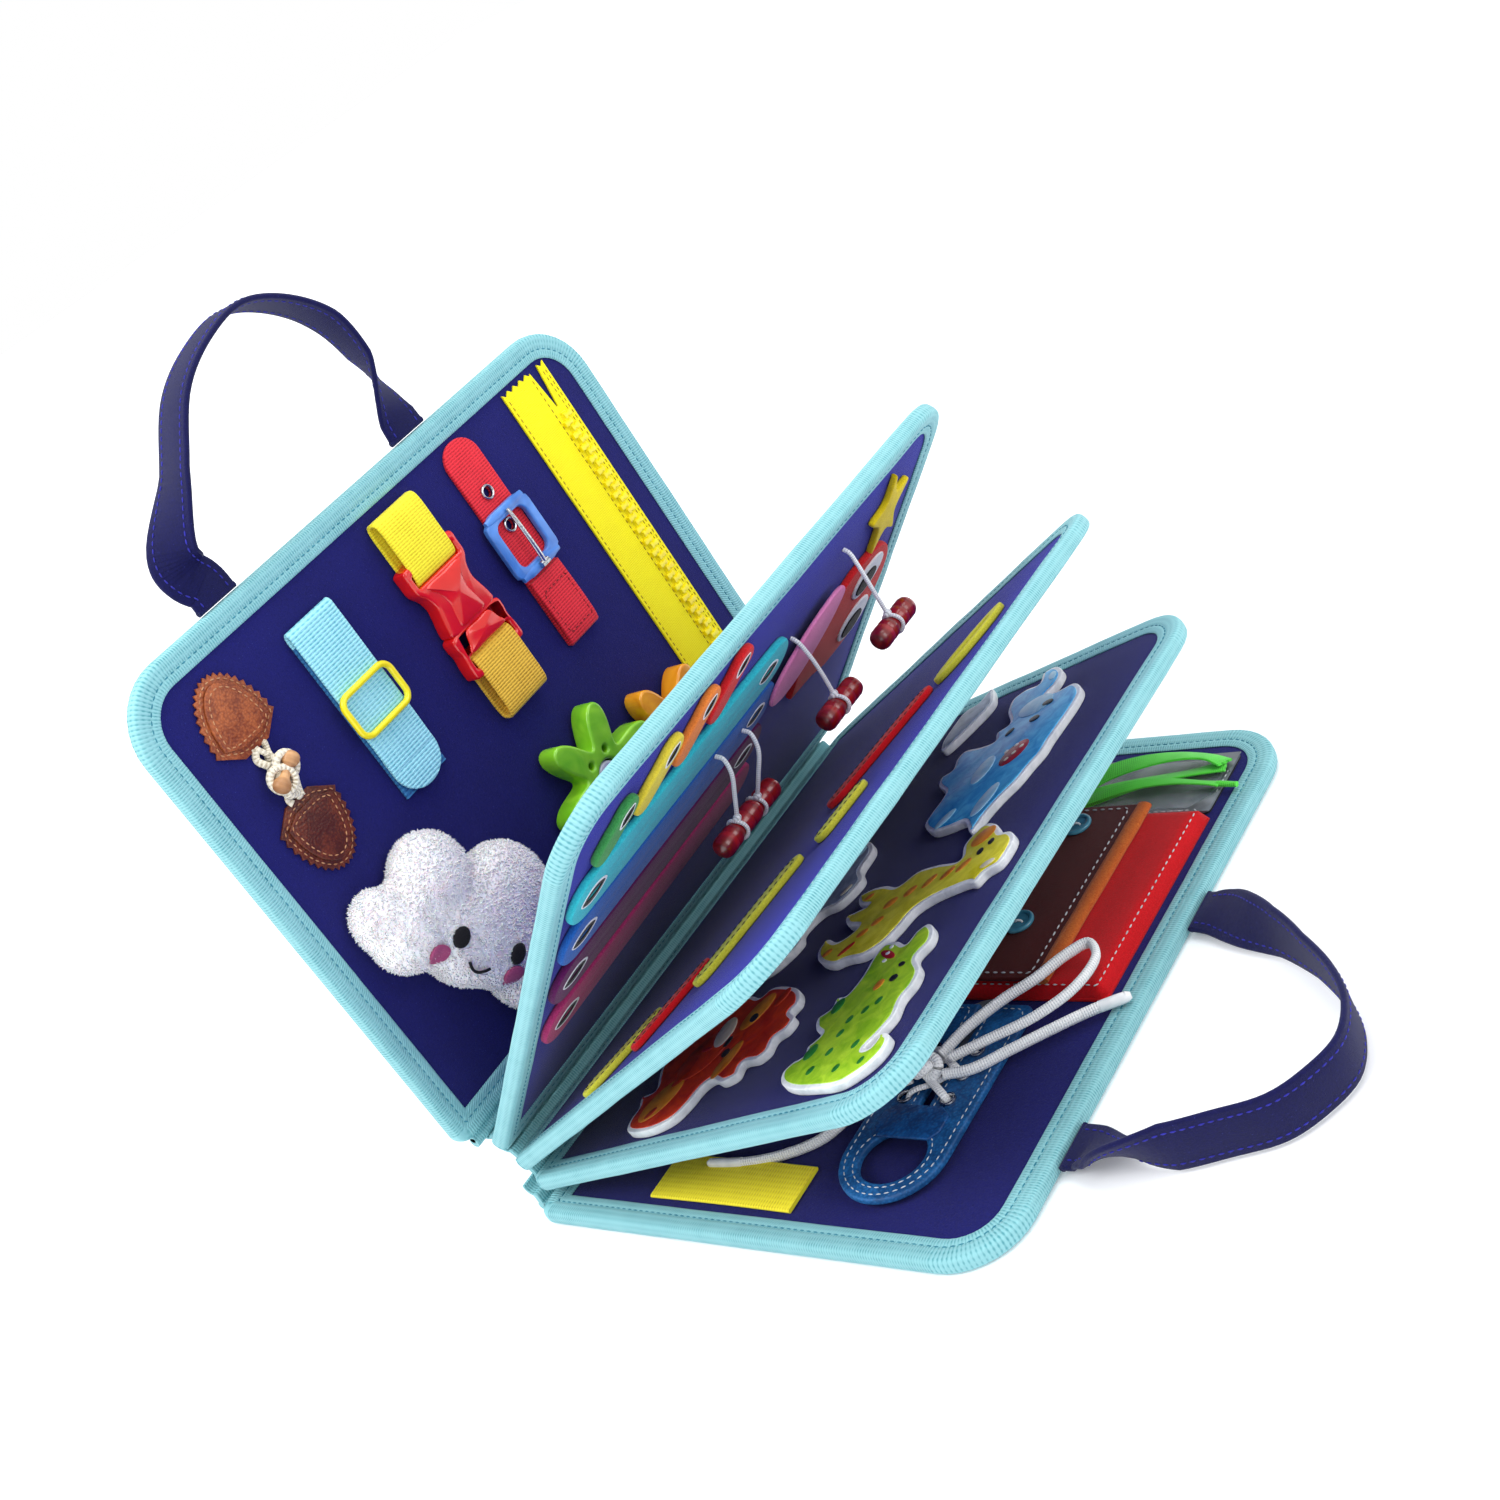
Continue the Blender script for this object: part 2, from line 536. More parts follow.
# Runs a section along a path. The section's first axis starts along the hint and is carried without twist
def sweepMesh(path, section, hint=(0, 0, 1), scales=None, twists=None, closed=False):
    path = [Vector(p) for p in path]
    across = Vector(hint)
    rings = []
    for i, centre in enumerate(path):
        before = path[i - 1] if i > 0 or closed else centre
        after = path[(i + 1) % len(path)] if i + 1 < len(path) or closed else centre
        ahead = (after - before).normalized()
        across = (across - ahead * across.dot(ahead)).normalized()
        side, up = across, ahead.cross(across)
        if twists:
            angle = twists[i]
            side, up = (side * math.cos(angle) + up * math.sin(angle),
                        up * math.cos(angle) - side * math.sin(angle))
        scale = scales[i] if scales else 1
        rings.append([centre + side * a * scale + up * b * scale for a, b in section])
    lengths = pathLengths(path + path[:1] if closed else path)
    return skinMesh(rings, lengths, closed)


def oval(x, y, a, b, turn=0, sides=20):
    c, s = math.cos(math.radians(turn)), math.sin(math.radians(turn))
    return [(x + a * math.cos(t) * c - b * math.sin(t) * s, y + a * math.cos(t) * s + b * math.sin(t) * c)
            for t in (2 * math.pi * i / sides for i in range(sides))]


def circle(radius, sides=12):
    return oval(0, 0, radius, radius, 0, sides)


# A half outline and its mirror image below the x axis, one way round
def mirrored(half):
    return half + [(x, -y) for x, y in reversed(half)]


# Draws an outline in by a distance, measured square to its edge
def drawnIn(loop, inset):
    area = sum(a[0] * b[1] - b[0] * a[1] for a, b in zip(loop, loop[1:] + loop[:1]))
    turn = inset if area > 0 else -inset
    points = []
    for i, point in enumerate(loop):
        before, after = loop[i - 2], loop[(i + 2) % len(loop)]
        along = Vector((after[0] - before[0], after[1] - before[1])).normalized()
        points.append((point[0] - along.y * turn, point[1] + along.x * turn))
    return points


def ovalSection(width, thick, sides=14):
    return oval(0, 0, width / 2, thick / 2, 0, sides)


# A strap's section: width by thickness, its edges rounded
def strapSection(width, thick, steps=3):
    r = thick / 2 * 0.92
    section = []
    for sx, sy, start in ((1, 1, 0), (-1, 1, 90), (-1, -1, 180), (1, -1, 270)):
        for i in range(steps + 1):
            angle = math.radians(start + 90 * i / steps)
            section.append((sx * (width / 2 - r) + r * math.cos(angle),
                            sy * (thick / 2 - r) + r * math.sin(angle)))
    return section


# A rounded rectangle, anticlockwise, with the same count of points whatever its radii
def roundedBox(x0, x1, y0, y1, r0, r1=None, steps=8):
    r1 = r0 if r1 is None else r1
    points = []
    for x, y, r, start in ((x1 - r1, y0 + r1, r1, -90), (x1 - r1, y1 - r1, r1, 0),
                           (x0 + r0, y1 - r0, r0, 90), (x0 + r0, y0 + r0, r0, 180)):
        for i in range(steps + 1):
            angle = math.radians(start + 90 * i / steps)
            points.append((x + r * math.cos(angle), y + r * math.sin(angle)))
    return points


# A level ring: its centre, its radius and its section's half width and half height
def hoopMesh(x, y, z, radius, across, up, sides=28, around=10):
    path = [(px, py, z) for px, py in oval(x, y, radius, radius, 0, sides)]
    return sweepMesh(path, oval(0, 0, across, up, 0, around), (0, 0, 1), closed=True)


# A profile of (radius, height) pairs turned round the z axis, with its poles closed
def turnedMesh(profile, sides=24):
    rings = [[(max(r, 1e-5) * math.cos(2 * math.pi * i / sides),
               max(r, 1e-5) * math.sin(2 * math.pi * i / sides), z)
              for i in range(sides)] for r, z in profile]
    return skinMesh(rings, pathLengths([(r, z, 0) for r, z in profile]))


def ballMesh(radii, centre=(0, 0, 0), sides=20, rings=12):
    profile = [(math.sin(math.pi * i / rings), -math.cos(math.pi * i / rings)) for i in range(rings + 1)]
    mesh = turnedMesh(profile, sides)
    mesh.transform(Matrix.Translation(centre) @ Matrix.Diagonal((*radii, 1)))
    return mesh


# Geometry Nodes: stitches, zip teeth and plush pile

def startTree(name, inputs):
    tree = bpy.data.node_groups.new(name, "GeometryNodeTree")
    face = tree.interface
    sockets = {"Geometry": face.new_socket("Geometry", in_out="INPUT", socket_type="NodeSocketGeometry")}
    for label, kind in inputs:
        sockets[label] = face.new_socket(label, in_out="INPUT", socket_type=kind)
    face.new_socket("Geometry", in_out="OUTPUT", socket_type="NodeSocketGeometry")
    return tree, sockets, addNode(tree, "NodeGroupInput").outputs


def endTree(tree, instances, material):
    whole = addNode(tree, "GeometryNodeRealizeInstances", None, {"Geometry": instances})
    painted = addNode(tree, "GeometryNodeSetMaterial", None,
                      {"Geometry": whole.outputs["Geometry"], "Material": material})
    addNode(tree, "NodeGroupOutput", None, {"Geometry": painted.outputs["Geometry"]})


def buildStitchTree():
    tree, sockets, given = startTree("stitchesAlongSeam", [
        ("Pitch", "NodeSocketFloat"), ("Stitch length", "NodeSocketFloat"),
        ("Thread radius", "NodeSocketFloat"),
        ("Thread", "NodeSocketMaterial")])
    seam = addNode(tree, "GeometryNodeMeshToCurve", None, {"Mesh": given["Geometry"]})
    spaced = addNode(tree, "GeometryNodeResampleCurve", {"mode": "LENGTH"},
                     {"Curve": seam.outputs["Curve"], "Length": given["Pitch"]})
    ahead = addNode(tree, "GeometryNodeInputTangent")
    turned = addNode(tree, "FunctionNodeAlignRotationToVector", {"axis": "X"},
                     {"Vector": ahead.outputs["Tangent"]})
    half = addNode(tree, "ShaderNodeMath", {"operation": "MULTIPLY", 1: 0.5}, {0: given["Stitch length"]})
    size = addNode(tree, "ShaderNodeCombineXYZ", None,
                   {"X": half.outputs[0], "Y": given["Thread radius"], "Z": given["Thread radius"]})
    stitch = addNode(tree, "GeometryNodeMeshUVSphere", {"Segments": 6, "Rings": 5, "Radius": 1.0})
    placed = addNode(tree, "GeometryNodeInstanceOnPoints", None,
                     {"Points": spaced.outputs["Curve"], "Instance": stitch.outputs["Mesh"],
                      "Rotation": turned.outputs["Rotation"], "Scale": size.outputs["Vector"]})
    endTree(tree, placed.outputs["Instances"], given["Thread"])
    return tree, sockets


def buildTeethTree():
    tree, sockets, given = startTree("teethAlongChain", [
        ("Pitch", "NodeSocketFloat"), ("Tooth", "NodeSocketObject"), ("Offset", "NodeSocketFloat"),
        ("Plastic", "NodeSocketMaterial")])
    chain = addNode(tree, "GeometryNodeMeshToCurve", None, {"Mesh": given["Geometry"]})
    spaced = addNode(tree, "GeometryNodeResampleCurve", {"mode": "LENGTH"},
                     {"Curve": chain.outputs["Curve"], "Length": given["Pitch"]})
    number = addNode(tree, "GeometryNodeInputIndex")
    odd = addNode(tree, "ShaderNodeMath", {"operation": "MODULO", 1: 2.0}, {0: number.outputs["Index"]})
    side = addNode(tree, "ShaderNodeMath", {"operation": "MULTIPLY_ADD", 1: 2.0, 2: -1.0},
                   {0: odd.outputs[0]})
    shift = addNode(tree, "ShaderNodeMath", {"operation": "MULTIPLY"},
                    {0: side.outputs[0], 1: given["Offset"]})
    offset = addNode(tree, "ShaderNodeCombineXYZ", None, {"Y": shift.outputs[0]})
    moved = addNode(tree, "GeometryNodeSetPosition", None,
                    {"Geometry": spaced.outputs["Curve"], "Offset": offset.outputs["Vector"]})
    turn = addNode(tree, "ShaderNodeMath", {"operation": "MULTIPLY", 1: math.pi}, {0: odd.outputs[0]})
    turned = addNode(tree, "ShaderNodeCombineXYZ", None, {"Z": turn.outputs[0]})
    tooth = addNode(tree, "GeometryNodeObjectInfo", None, {"Object": given["Tooth"]})
    placed = addNode(tree, "GeometryNodeInstanceOnPoints", None,
                     {"Points": moved.outputs["Geometry"], "Instance": tooth.outputs["Geometry"],
                      "Rotation": turned.outputs["Vector"]})
    endTree(tree, placed.outputs["Instances"], given["Plastic"])
    return tree, sockets


def buildPileTree():
    tree, sockets, given = startTree("pileOverCloth", [
        ("Density", "NodeSocketFloat"), ("Length", "NodeSocketFloat"), ("Radius", "NodeSocketFloat"),
        ("Seed", "NodeSocketInt"), ("Pile", "NodeSocketMaterial")])
    spread = addNode(tree, "GeometryNodeDistributePointsOnFaces", None,
                     {"Mesh": given["Geometry"], "Density": given["Density"], "Seed": given["Seed"]})
    lean = addNode(tree, "FunctionNodeRandomValue",
                   {"data_type": "FLOAT_VECTOR", 0: (-0.75, -0.75, -0.75), 1: (0.75, 0.75, 0.75)},
                   {"Seed": given["Seed"]})
    leaned = addNode(tree, "ShaderNodeVectorMath", {"operation": "ADD"},
                     {0: spread.outputs["Normal"], 1: lean.outputs[0]})
    turned = addNode(tree, "FunctionNodeAlignRotationToVector", {"axis": "Z"},
                     {"Vector": leaned.outputs["Vector"]})
    size = addNode(tree, "FunctionNodeRandomValue", {"data_type": "FLOAT", 2: 0.6, 3: 1.25},
                   {"Seed": given["Seed"]})
    tuft = addNode(tree, "GeometryNodeMeshCone", {"Vertices": 3, "Radius Top": 0.0},
                   {"Radius Bottom": given["Radius"], "Depth": given["Length"]})
    placed = addNode(tree, "GeometryNodeInstanceOnPoints", None,
                     {"Points": spread.outputs["Points"], "Instance": tuft.outputs["Mesh"],
                      "Rotation": turned.outputs["Rotation"], "Scale": size.outputs[1]})
    whole = addNode(tree, "GeometryNodeJoinGeometry")
    tree.links.new(given["Geometry"], whole.inputs[0])
    tree.links.new(placed.outputs["Instances"], whole.inputs[0])
    endTree(tree, whole.outputs["Geometry"], given["Pile"])
    return tree, sockets


stitchTree, teethTree, pileTree = buildStitchTree(), buildTeethTree(), buildPileTree()


# Runs a tree on a mesh with the values that the dictionary names, and gives the result as a plain mesh
def grow(source, treeAndSockets, given):
    tree, sockets = treeAndSockets
    holder = newObject("holder", source)
    modifier = holder.modifiers.new("grow", "NODES")
    modifier.node_group = tree
    for label, value in given.items():
        modifier[sockets[label].identifier] = value
    return bakedMesh(holder)


# Sewn stitches along lines of points in a spot's own millimetres
def sewStitches(name, lines, thread, place, body, slot, pitch=3.4, length=2.3, radius=0.36, closed=False):
    points, edges = [], []
    for line in lines:
        start = len(points)
        points += [tuple(p) for p in line]
        edges += [(i, i + 1) for i in range(start, len(points) - 1)]
        if closed:
            edges.append((len(points) - 1, start))
    seam = bpy.data.meshes.new("seam")
    seam.from_pydata(points, edges, [])
    mesh = grow(seam, stitchTree, {"Pitch": pitch, "Stitch length": length, "Thread radius": radius,
                                   "Thread": materials[thread]})
    for layer in list(mesh.uv_layers):
        layer.name = "cloth"
    return finishPiece(name, mesh, thread, place, body, slot, 60, False)


makeCamera(cameraView)
makeLamps(lampSetup)
world = bpy.data.worlds.new("paleRoom")
world.use_nodes = True
world.node_tree.nodes.clear()
# The camera sees a white wall, and the pieces get the softer light of a pale room
roomLight = addNode(world.node_tree, "ShaderNodeBackground",
                    {"Color": linearColour("#f4f6fa"), "Strength": 0.84})
wallLight = addNode(world.node_tree, "ShaderNodeBackground", {"Color": linearColour("#ffffff")})
seen = addNode(world.node_tree, "ShaderNodeLightPath")
room = addNode(world.node_tree, "ShaderNodeMixShader", None, {"Fac": seen.outputs["Is Camera Ray"],
               1: roomLight.outputs["Background"], 2: wallLight.outputs["Background"]})
addNode(world.node_tree, "ShaderNodeOutputWorld", None, {"Surface": room.outputs["Shader"]})
scene.world = world
print("camera, light and tools ready")

# Cords: the shoe's lace and the page's toggles. Routes are in their leaf's own millimetres

laceShape = {"width": 4.6, "thick": 3.4, "knotTurn": 4.0, "knotTube": 2.05, "knot": (162.84, -65.25, 13.1)}
laceRoutes = {
    "lace_loop": [(165.7, -59.0, 13.1), (171, -47, 14.5), (181, -33, 16), (192, -22.5, 17.5), (200, -10, 18),
                  (206.5, -3, 17.5), (212, -9, 16.5), (210, -24, 15.6), (199, -39, 14.6), (184, -51.4, 14.4),
                  (171.0, -60.2, 13.3)],
    "lace_tail_far": [(171.1, -67.5, 12), (181, -63.5, 11.1), (192.5, -52, 10.2), (204, -39.5, 8.8),
                      (215, -28, 7.3),
                      (226, -20, 6.6)],
    "lace_tail_near": [(157.35, -70.2, 12), (149, -75, 11.2), (141, -82, 10), (127, -97, 5.6),
                       (112, -106, 4.9),
                       (96, -111, 4.8), (80, -113, 4.8)],
}
toggleCord = {"width": 1.8, "logRadius": 4.6, "logLength": 26, "tieGap": 0.3, "waist": 0.78}
cordRoutes = {
    "cord_1": [(194, -63, 2.4), (194, -63, 5), (190, -63.3, 10), (182, -64, 18), (172, -65, 28)],
    "cord_2": [(150.5, 5, 5.9), (151.5, 5, 9), (147.5, 6.5, 14.5), (138, 9.5, 18.5), (126, 11, 21.5)],
    "cord_3": [(170, -31, 2.4), (170, -31, 5.5), (166.5, -31.5, 11), (160, -32, 18.5), (151.5, -32.5, 26.5)],
    "cord_4": [(158, 28, 5.9), (159, 28, 9), (155.5, 29, 14), (147, 31, 18.5), (137, 33, 23)],
}


def makeCord(name, route, leaf, side, section, material, slot,
             steps=44):
    place = leafPlace(leaf, side)
    path = smoothPath(route, steps)
    cord = finishPiece(name, sweepMesh(path, section,
                                       (0, 0, 1) if abs(path[1].z - path[0].z) < 1 else (1, 0, 0)),
                       material, place, leaf, slot, 60)
    return cord


# A lace's end, bound in a stiff sleeve
def makeAglet(name, route, section):
    path = smoothPath(route, 44)[-8:]
    path.append(path[-1] + (path[-1] - path[-2]).normalized() * 1.5)
    sleeve = [(a * 1.06, b * 1.15) for a, b in section]
    tapered = [1, 1, 1, 1, 1, 1, 0.97, 0.9, 0.55]
    return finishPiece(name, sweepMesh(path, sleeve, (0, 0, 1), tapered), "whitePlastic",
                       leafPlace("right_cover", 1),
                       "right_cover", "cord_white")


def makeLace(shape, routes):
    section = ovalSection(shape["width"], shape["thick"])
    farAglet = makeAglet("aglet_far", routes["lace_tail_far"], section)
    nearAglet = makeAglet("aglet_near", routes["lace_tail_near"], section)
    turns = []
    for i in range(90):
        t = 2 * math.pi * i / 90
        reach = shape["knotTurn"] * (0.72 + 0.36 * math.cos(3 * t))
        turns.append((1.15 * reach * math.cos(2 * t), 1.05 * reach * math.sin(2 * t), 2.3 * math.sin(3 * t)))
    knot = sweepMesh(turns, circle(shape["knotTube"], 12), (0, 0, 1), closed=True)
    knot = finishPiece("knot", knot, "lace", leafPlace("right_cover", 1) @ Matrix.Translation(shape["knot"]),
                       "right_cover", "cord_white", 60, stands="lace_knot")
    for name, route in routes.items():
        cord = makeCord(name + "_cotton", route, "right_cover", 1, section, "lace",
                        "cord_white",
                        60)
        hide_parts(name)


# A turned log with a waist, the cord's tie round it and the cord's own stub
def makeToggleCords(shape, routes):
    place = leafPlace("page_1", -1)
    for number, (name, route) in enumerate(routes.items(), 1):
        last, before = Vector(route[-1]), Vector(route[-2])
        onward = (last - before).normalized()
        centre = last + onward * (shape["logRadius"] * shape["waist"] + shape["tieGap"])
        r, half = shape["logRadius"], shape["logLength"] / 2
        end = [(0, -half), (r * 0.72, -half), (r * 0.9, -half + 0.7), (r, -half + 2.2), (r, -half + 6),
               (r * 0.93, -half + 6.6), (r * 0.93, -half + 7.2), (r, -half + 7.8), (r * 0.98, -3.2),
               (r * 0.82, -1.6)]
        profile = end + [(r * 0.76, 0)] + mirrored(end)[len(end):]
        lengthwise = Matrix.Rotation(math.radians(90), 4, "X")
        log = finishPiece(f"turned_log_{number}", turnedMesh(profile, 28), "redWood",
                          place @ Matrix.Translation(centre) @ lengthwise, "page_1", "wood_dark_red", 50)
        tie = [(x, y, 0.5 * math.sin(4 * math.pi * i / 28))
               for i, (x, y) in enumerate(circle(r * 0.76 + 0.8, 28))]
        tied = [sweepMesh(tie, circle(0.85, 8), (0, 0, 1), closed=True),
                ballMesh((1.9, 1.7, 1.9), (0, 0, 0), 12, 8)]
        tied[1].transform(Matrix.Translation((lengthwise.inverted() @ -onward) * (r * 0.76 + 1.4)))
        bound = finishPiece(f"cord_tie_{number}", joinMeshes(tied), "whiteCord",
                            place @ Matrix.Translation(centre) @ lengthwise,
                            "page_1", "cord_white", 60)
        cord = makeCord(name + "_waxed", route, "page_1", -1, circle(shape["width"] / 2, 10),
                        "whiteCord",
                        "cord_white", 30)
        if number < 3:
            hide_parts(name)
            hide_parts(f"log_{number}")


makeLace(laceShape, laceRoutes)
makeToggleCords(toggleCord, cordRoutes)
print("cords made")

# Leaves: felt boards bound in folded tape, sewn to the spine

leafSizes = {
    "cover": {"width": 230, "length": 290, "corner": 28, "spineCorner": 6},
    "page": {"width": 228, "length": 278, "corner": 28, "spineCorner": 6},
}
bindingShape = {
    "margin": 3.5, "seam": 7.2, "seamLift": 3.05, "bead": 2.5, "web": 3, "webTop": 7.1,
    "pitch": 10, "lipRadius": 3.3, "lip": 0.9, "stitchPitch": 3.2,
    "section": [(11, 2.15), (11.15, 2.6), (10.5, 3.0), (9, 3.22), (7.8, 3.2), (7.2, 2.95), (6.6, 3.22),
                (5, 3.44),
                (3, 3.5), (1.6, 3.4), (0.7, 2.95), (0.18, 2.0), (0, 0.8)],
}


# The outline of a leaf, drawn in by an inset, with the same count of points for every inset
def leafOutline(size, inset, straight=14):
    margin = bindingShape["margin"]
    corners = roundedBox(margin + inset, size["width"] - inset, -size["length"] / 2 + inset,
                         size["length"] / 2 - inset,
                         max(size["spineCorner"] - inset, 0.6), max(size["corner"] - inset, 0.6), 9)
    points = []
    for i, point in enumerate(corners):
        points.append(point)
        if i % 10 == 9:
            after = corners[(i + 1) % len(corners)]
            points += [tuple(point[k] + (after[k] - point[k]) * s / straight for k in (0, 1))
                       for s in range(1, straight)]
    return points


# The tape laps round the back of the next leaf's bead, so that no light comes through the spine
def spineLip(along, shape):
    angles = [math.radians(160 + 12 * i) for i in range(9)]
    loop = [(r * math.cos(a), shape["pitch"] + r * math.sin(a)) for r, turns in
            ((shape["lipRadius"] + shape["lip"], angles), (shape["lipRadius"], list(reversed(angles))))
            for a in turns]
    return skinMesh([[(x, y, z) for x, z in loop] for _, y, _ in along], [y for _, y, _ in along])


def makeBinding(leaf, size, shape, carriesNext):
    half = [(d, z) for d, z in shape["section"]]
    section = half + [(d, -z) for d, z in reversed(half)] + [(2.0, -2.15), (2.0, 2.15)]
    outlines = [leafOutline(size, d) for d, _ in section]
    count = len(outlines[0])
    lengths = pathLengths([(*p, 0) for p in outlines[0] + outlines[0][:1]])
    rings = []
    for i in range(count):
        ripple = 0.10 * math.sin(lengths[i] / 11.0) + 0.07 * math.sin(lengths[i] / 4.7 + 1.3)
        rings.append([(outlines[k][i][0], outlines[k][i][1], z * (1 + ripple * 0.25) if abs(z) > 2.5 else z)
                      for k, (_, z) in enumerate(section)])
    reach = size["length"] / 2 - size["spineCorner"]
    along = [(0, -reach + 2 * reach * i / 40, 0) for i in range(41)]
    parts = [skinMesh(rings, lengths, True)]
    beadScales = [1 + 0.05 * math.sin(i * 1.9) for i in range(41)]
    parts.append(sweepMesh(along, circle(shape["bead"] * 0.95, 14), (0, 0, 1), beadScales))
    neck = [(x + (shape["margin"] + 1.5) / 2, y, z) for x, y, z in along]
    parts.append(sweepMesh(neck, strapSection(shape["margin"] + 1.5, shape["web"]), (1, 0, 0)))
    if carriesNext:
        web = [(0.25 * math.sin(i * 0.9), y, shape["webTop"] / 2) for i, (x, y, z) in enumerate(along)]
        parts.append(sweepMesh(web, strapSection(shape["webTop"], shape["web"] * 0.9), (0, 0, 1)))
        parts.append(spineLip(along, shape))
    finishPiece(leaf + "_tape", joinMeshes(parts), "tape", leafPlace(leaf, 1), leaf, "binding_aqua", 50,
                stands=leaf + "_binding")
    seams = [[(x, y, s * shape["seamLift"]) for x, y in leafOutline(size, shape["seam"])] for s in (1, -1)]
    sewStitches(leaf + "_seam", seams, "tealThread", leafPlace(leaf, 1), leaf, "binding_aqua",
                shape["stitchPitch"],
                2.2, 0.34, True)


boardShape = {"inset": 1.8, "thick": 4.24, "rounding": 0.5}


def makeBoard(leaf, size, shape, felt, slot):
    board = plateMesh([leafOutline(size, shape["inset"])], -shape["thick"] / 2, shape["thick"],
                      shape["rounding"])
    finishPiece(leaf + "_felt", board, felt, leafPlace(leaf, 1), leaf, slot, stands=leaf + "_board")


for leafName, felt, feltSlot in (("right_cover", "navyFelt", "felt_navy"),
                                 ("page_3", "navyFelt", "felt_navy"),
                                 ("page_2", "royalFelt", "felt_blue"), ("page_1", "royalFelt", "felt_blue"),
                                 ("left_cover", "navyFelt", "felt_navy")):
    leafSize = leafSizes["page" if "page" in leafName else "cover"]
    makeBoard(leafName, leafSize, boardShape, felt, feltSlot)
    makeBinding(leafName, leafSize, bindingShape, leafName != "left_cover")
print("leaves made")

# Handles: felt straps that leave the edge flat, turn on their edge and come back

handleShape = {"strap": 21, "thick": 2.6, "reach": 90, "span": 120, "root": 231.8, "steps": 90,
               "stitchInset": 3.4}
handleRoutes = {
    "right": (-27, [(0, -0.5, 0, 0), (0.078, -0.505, 0.024, 0), (0.167, -0.533, 0.143, 0.15),
                    (0.278, -0.558, 0.33, 0.6),
                    (0.467, -0.533, 0.376, 1), (0.644, -0.475, 0.376, 1), (0.833, -0.404, 0.376, 1),
                    (0.933, -0.308, 0.376, 1), (1, -0.175, 0.376, 1), (0.956, -0.025, 0.376, 1),
                    (0.844, 0.1, 0.376, 1),
                    (0.667, 0.225, 0.376, 1), (0.467, 0.333, 0.36, 0.85), (0.278, 0.408, 0.262, 0.5),
                    (0.111, 0.479, 0.095, 0.15), (0, 0.5, 0, 0)]),
    "left": (-19, [(0, -0.5, 0, 0), (0.078, -0.504, 0, 0), (0.156, -0.533, 0, 0.15), (0.256, -0.525, 0, 0.6),
                   (0.5, -0.346, 0, 1), (0.756, -0.158, 0, 1), (0.867, 0.025, 0, 1), (0.897, 0.203, 0, 1),
                   (0.803, 0.358, 0, 1), (0.618, 0.487, 0, 1), (0.393, 0.525, 0, 0.85),
                   (0.189, 0.512, 0, 0.35),
                   (0.078, 0.502, 0, 0.05), (0, 0.5, 0, 0)]),
}


def makeHandle(side, leaf, shape, shift, shares):
    controls = [(out * shape["reach"], along * shape["span"], rise * shape["strap"])
                for out, along, rise, _ in shares]
    path = smoothPath(controls, shape["steps"])
    frames = []
    for i, centre in enumerate(path):
        end = i in (0, len(path) - 1)
        ahead = Vector((1 if i == 0 else -1, 0, 0)) if end else (path[i + 1] - path[i - 1]).normalized()
        place = (len(shares) - 1) * i / shape["steps"]
        k = min(int(place), len(shares) - 2)
        twist = (shares[k][3] + (shares[k + 1][3] - shares[k][3]) * (place - k)) * math.pi / 2
        flat = Vector((ahead.y, -ahead.x, 0)).normalized()
        across = flat * math.cos(twist) + Vector((0, 0, 1)) * math.sin(twist)
        across = (across - ahead * across.dot(ahead)).normalized()
        frames.append((centre, across, across.cross(ahead)))
    section = strapSection(shape["strap"], shape["thick"])
    rings = [[centre + across * a + up * b * (1 - 0.12 * abs(a) / shape["strap"]) for a, b in section]
             for centre, across, up in frames]
    parts = [skinMesh(rings, pathLengths(path))]
    for y in (-0.5, 0.5):
        root = [(0, y * shape["span"] + x * shape["strap"] / 2, 0) for x in (-0.98, -0.5, 0, 0.5, 0.98)]
        parts.append(sweepMesh(root, circle(1.35, 12), (0, 0, 1)))
    place = leafPlace(leaf, 1) @ Matrix.Translation((shape["root"], shift, 0))
    finishPiece(side + "_handle_strap", joinMeshes(parts), "strap", place, side + "_handle", "webbing_navy",
                50, stands=side + "_handle")
    inset = shape["strap"] / 2 - shape["stitchInset"]
    lines = [[centre + across * a + up * b for centre, across, up in frames[2:-2]]
             for a in (-inset, inset) for b in (-shape["thick"] / 2 * 0.97, shape["thick"] / 2 * 0.97)]
    sewStitches(side + "_handle_seam", lines, "navyThread", place, side + "_handle", "webbing_navy", 3.2, 2.3,
                0.34)


makeHandle("right", "right_cover", handleShape, *handleRoutes["right"])
makeHandle("left", "left_cover", handleShape, *handleRoutes["left"])
print("handles made")

# Right cover: pouch, window pocket with its ribbons, and the shoe

pouchShape = {"u": 167.7, "v": 33.64, "width": 95, "length": 105, "depth": 7.6, "roll": 4.2, "wall": 1.5,
              "flapReach": 73, "flapThick": 2, "flapLift": 9.5, "buttonPlaces": [(43.8, 38.4), (44.8, -20.6)],
              "button": 6.4}


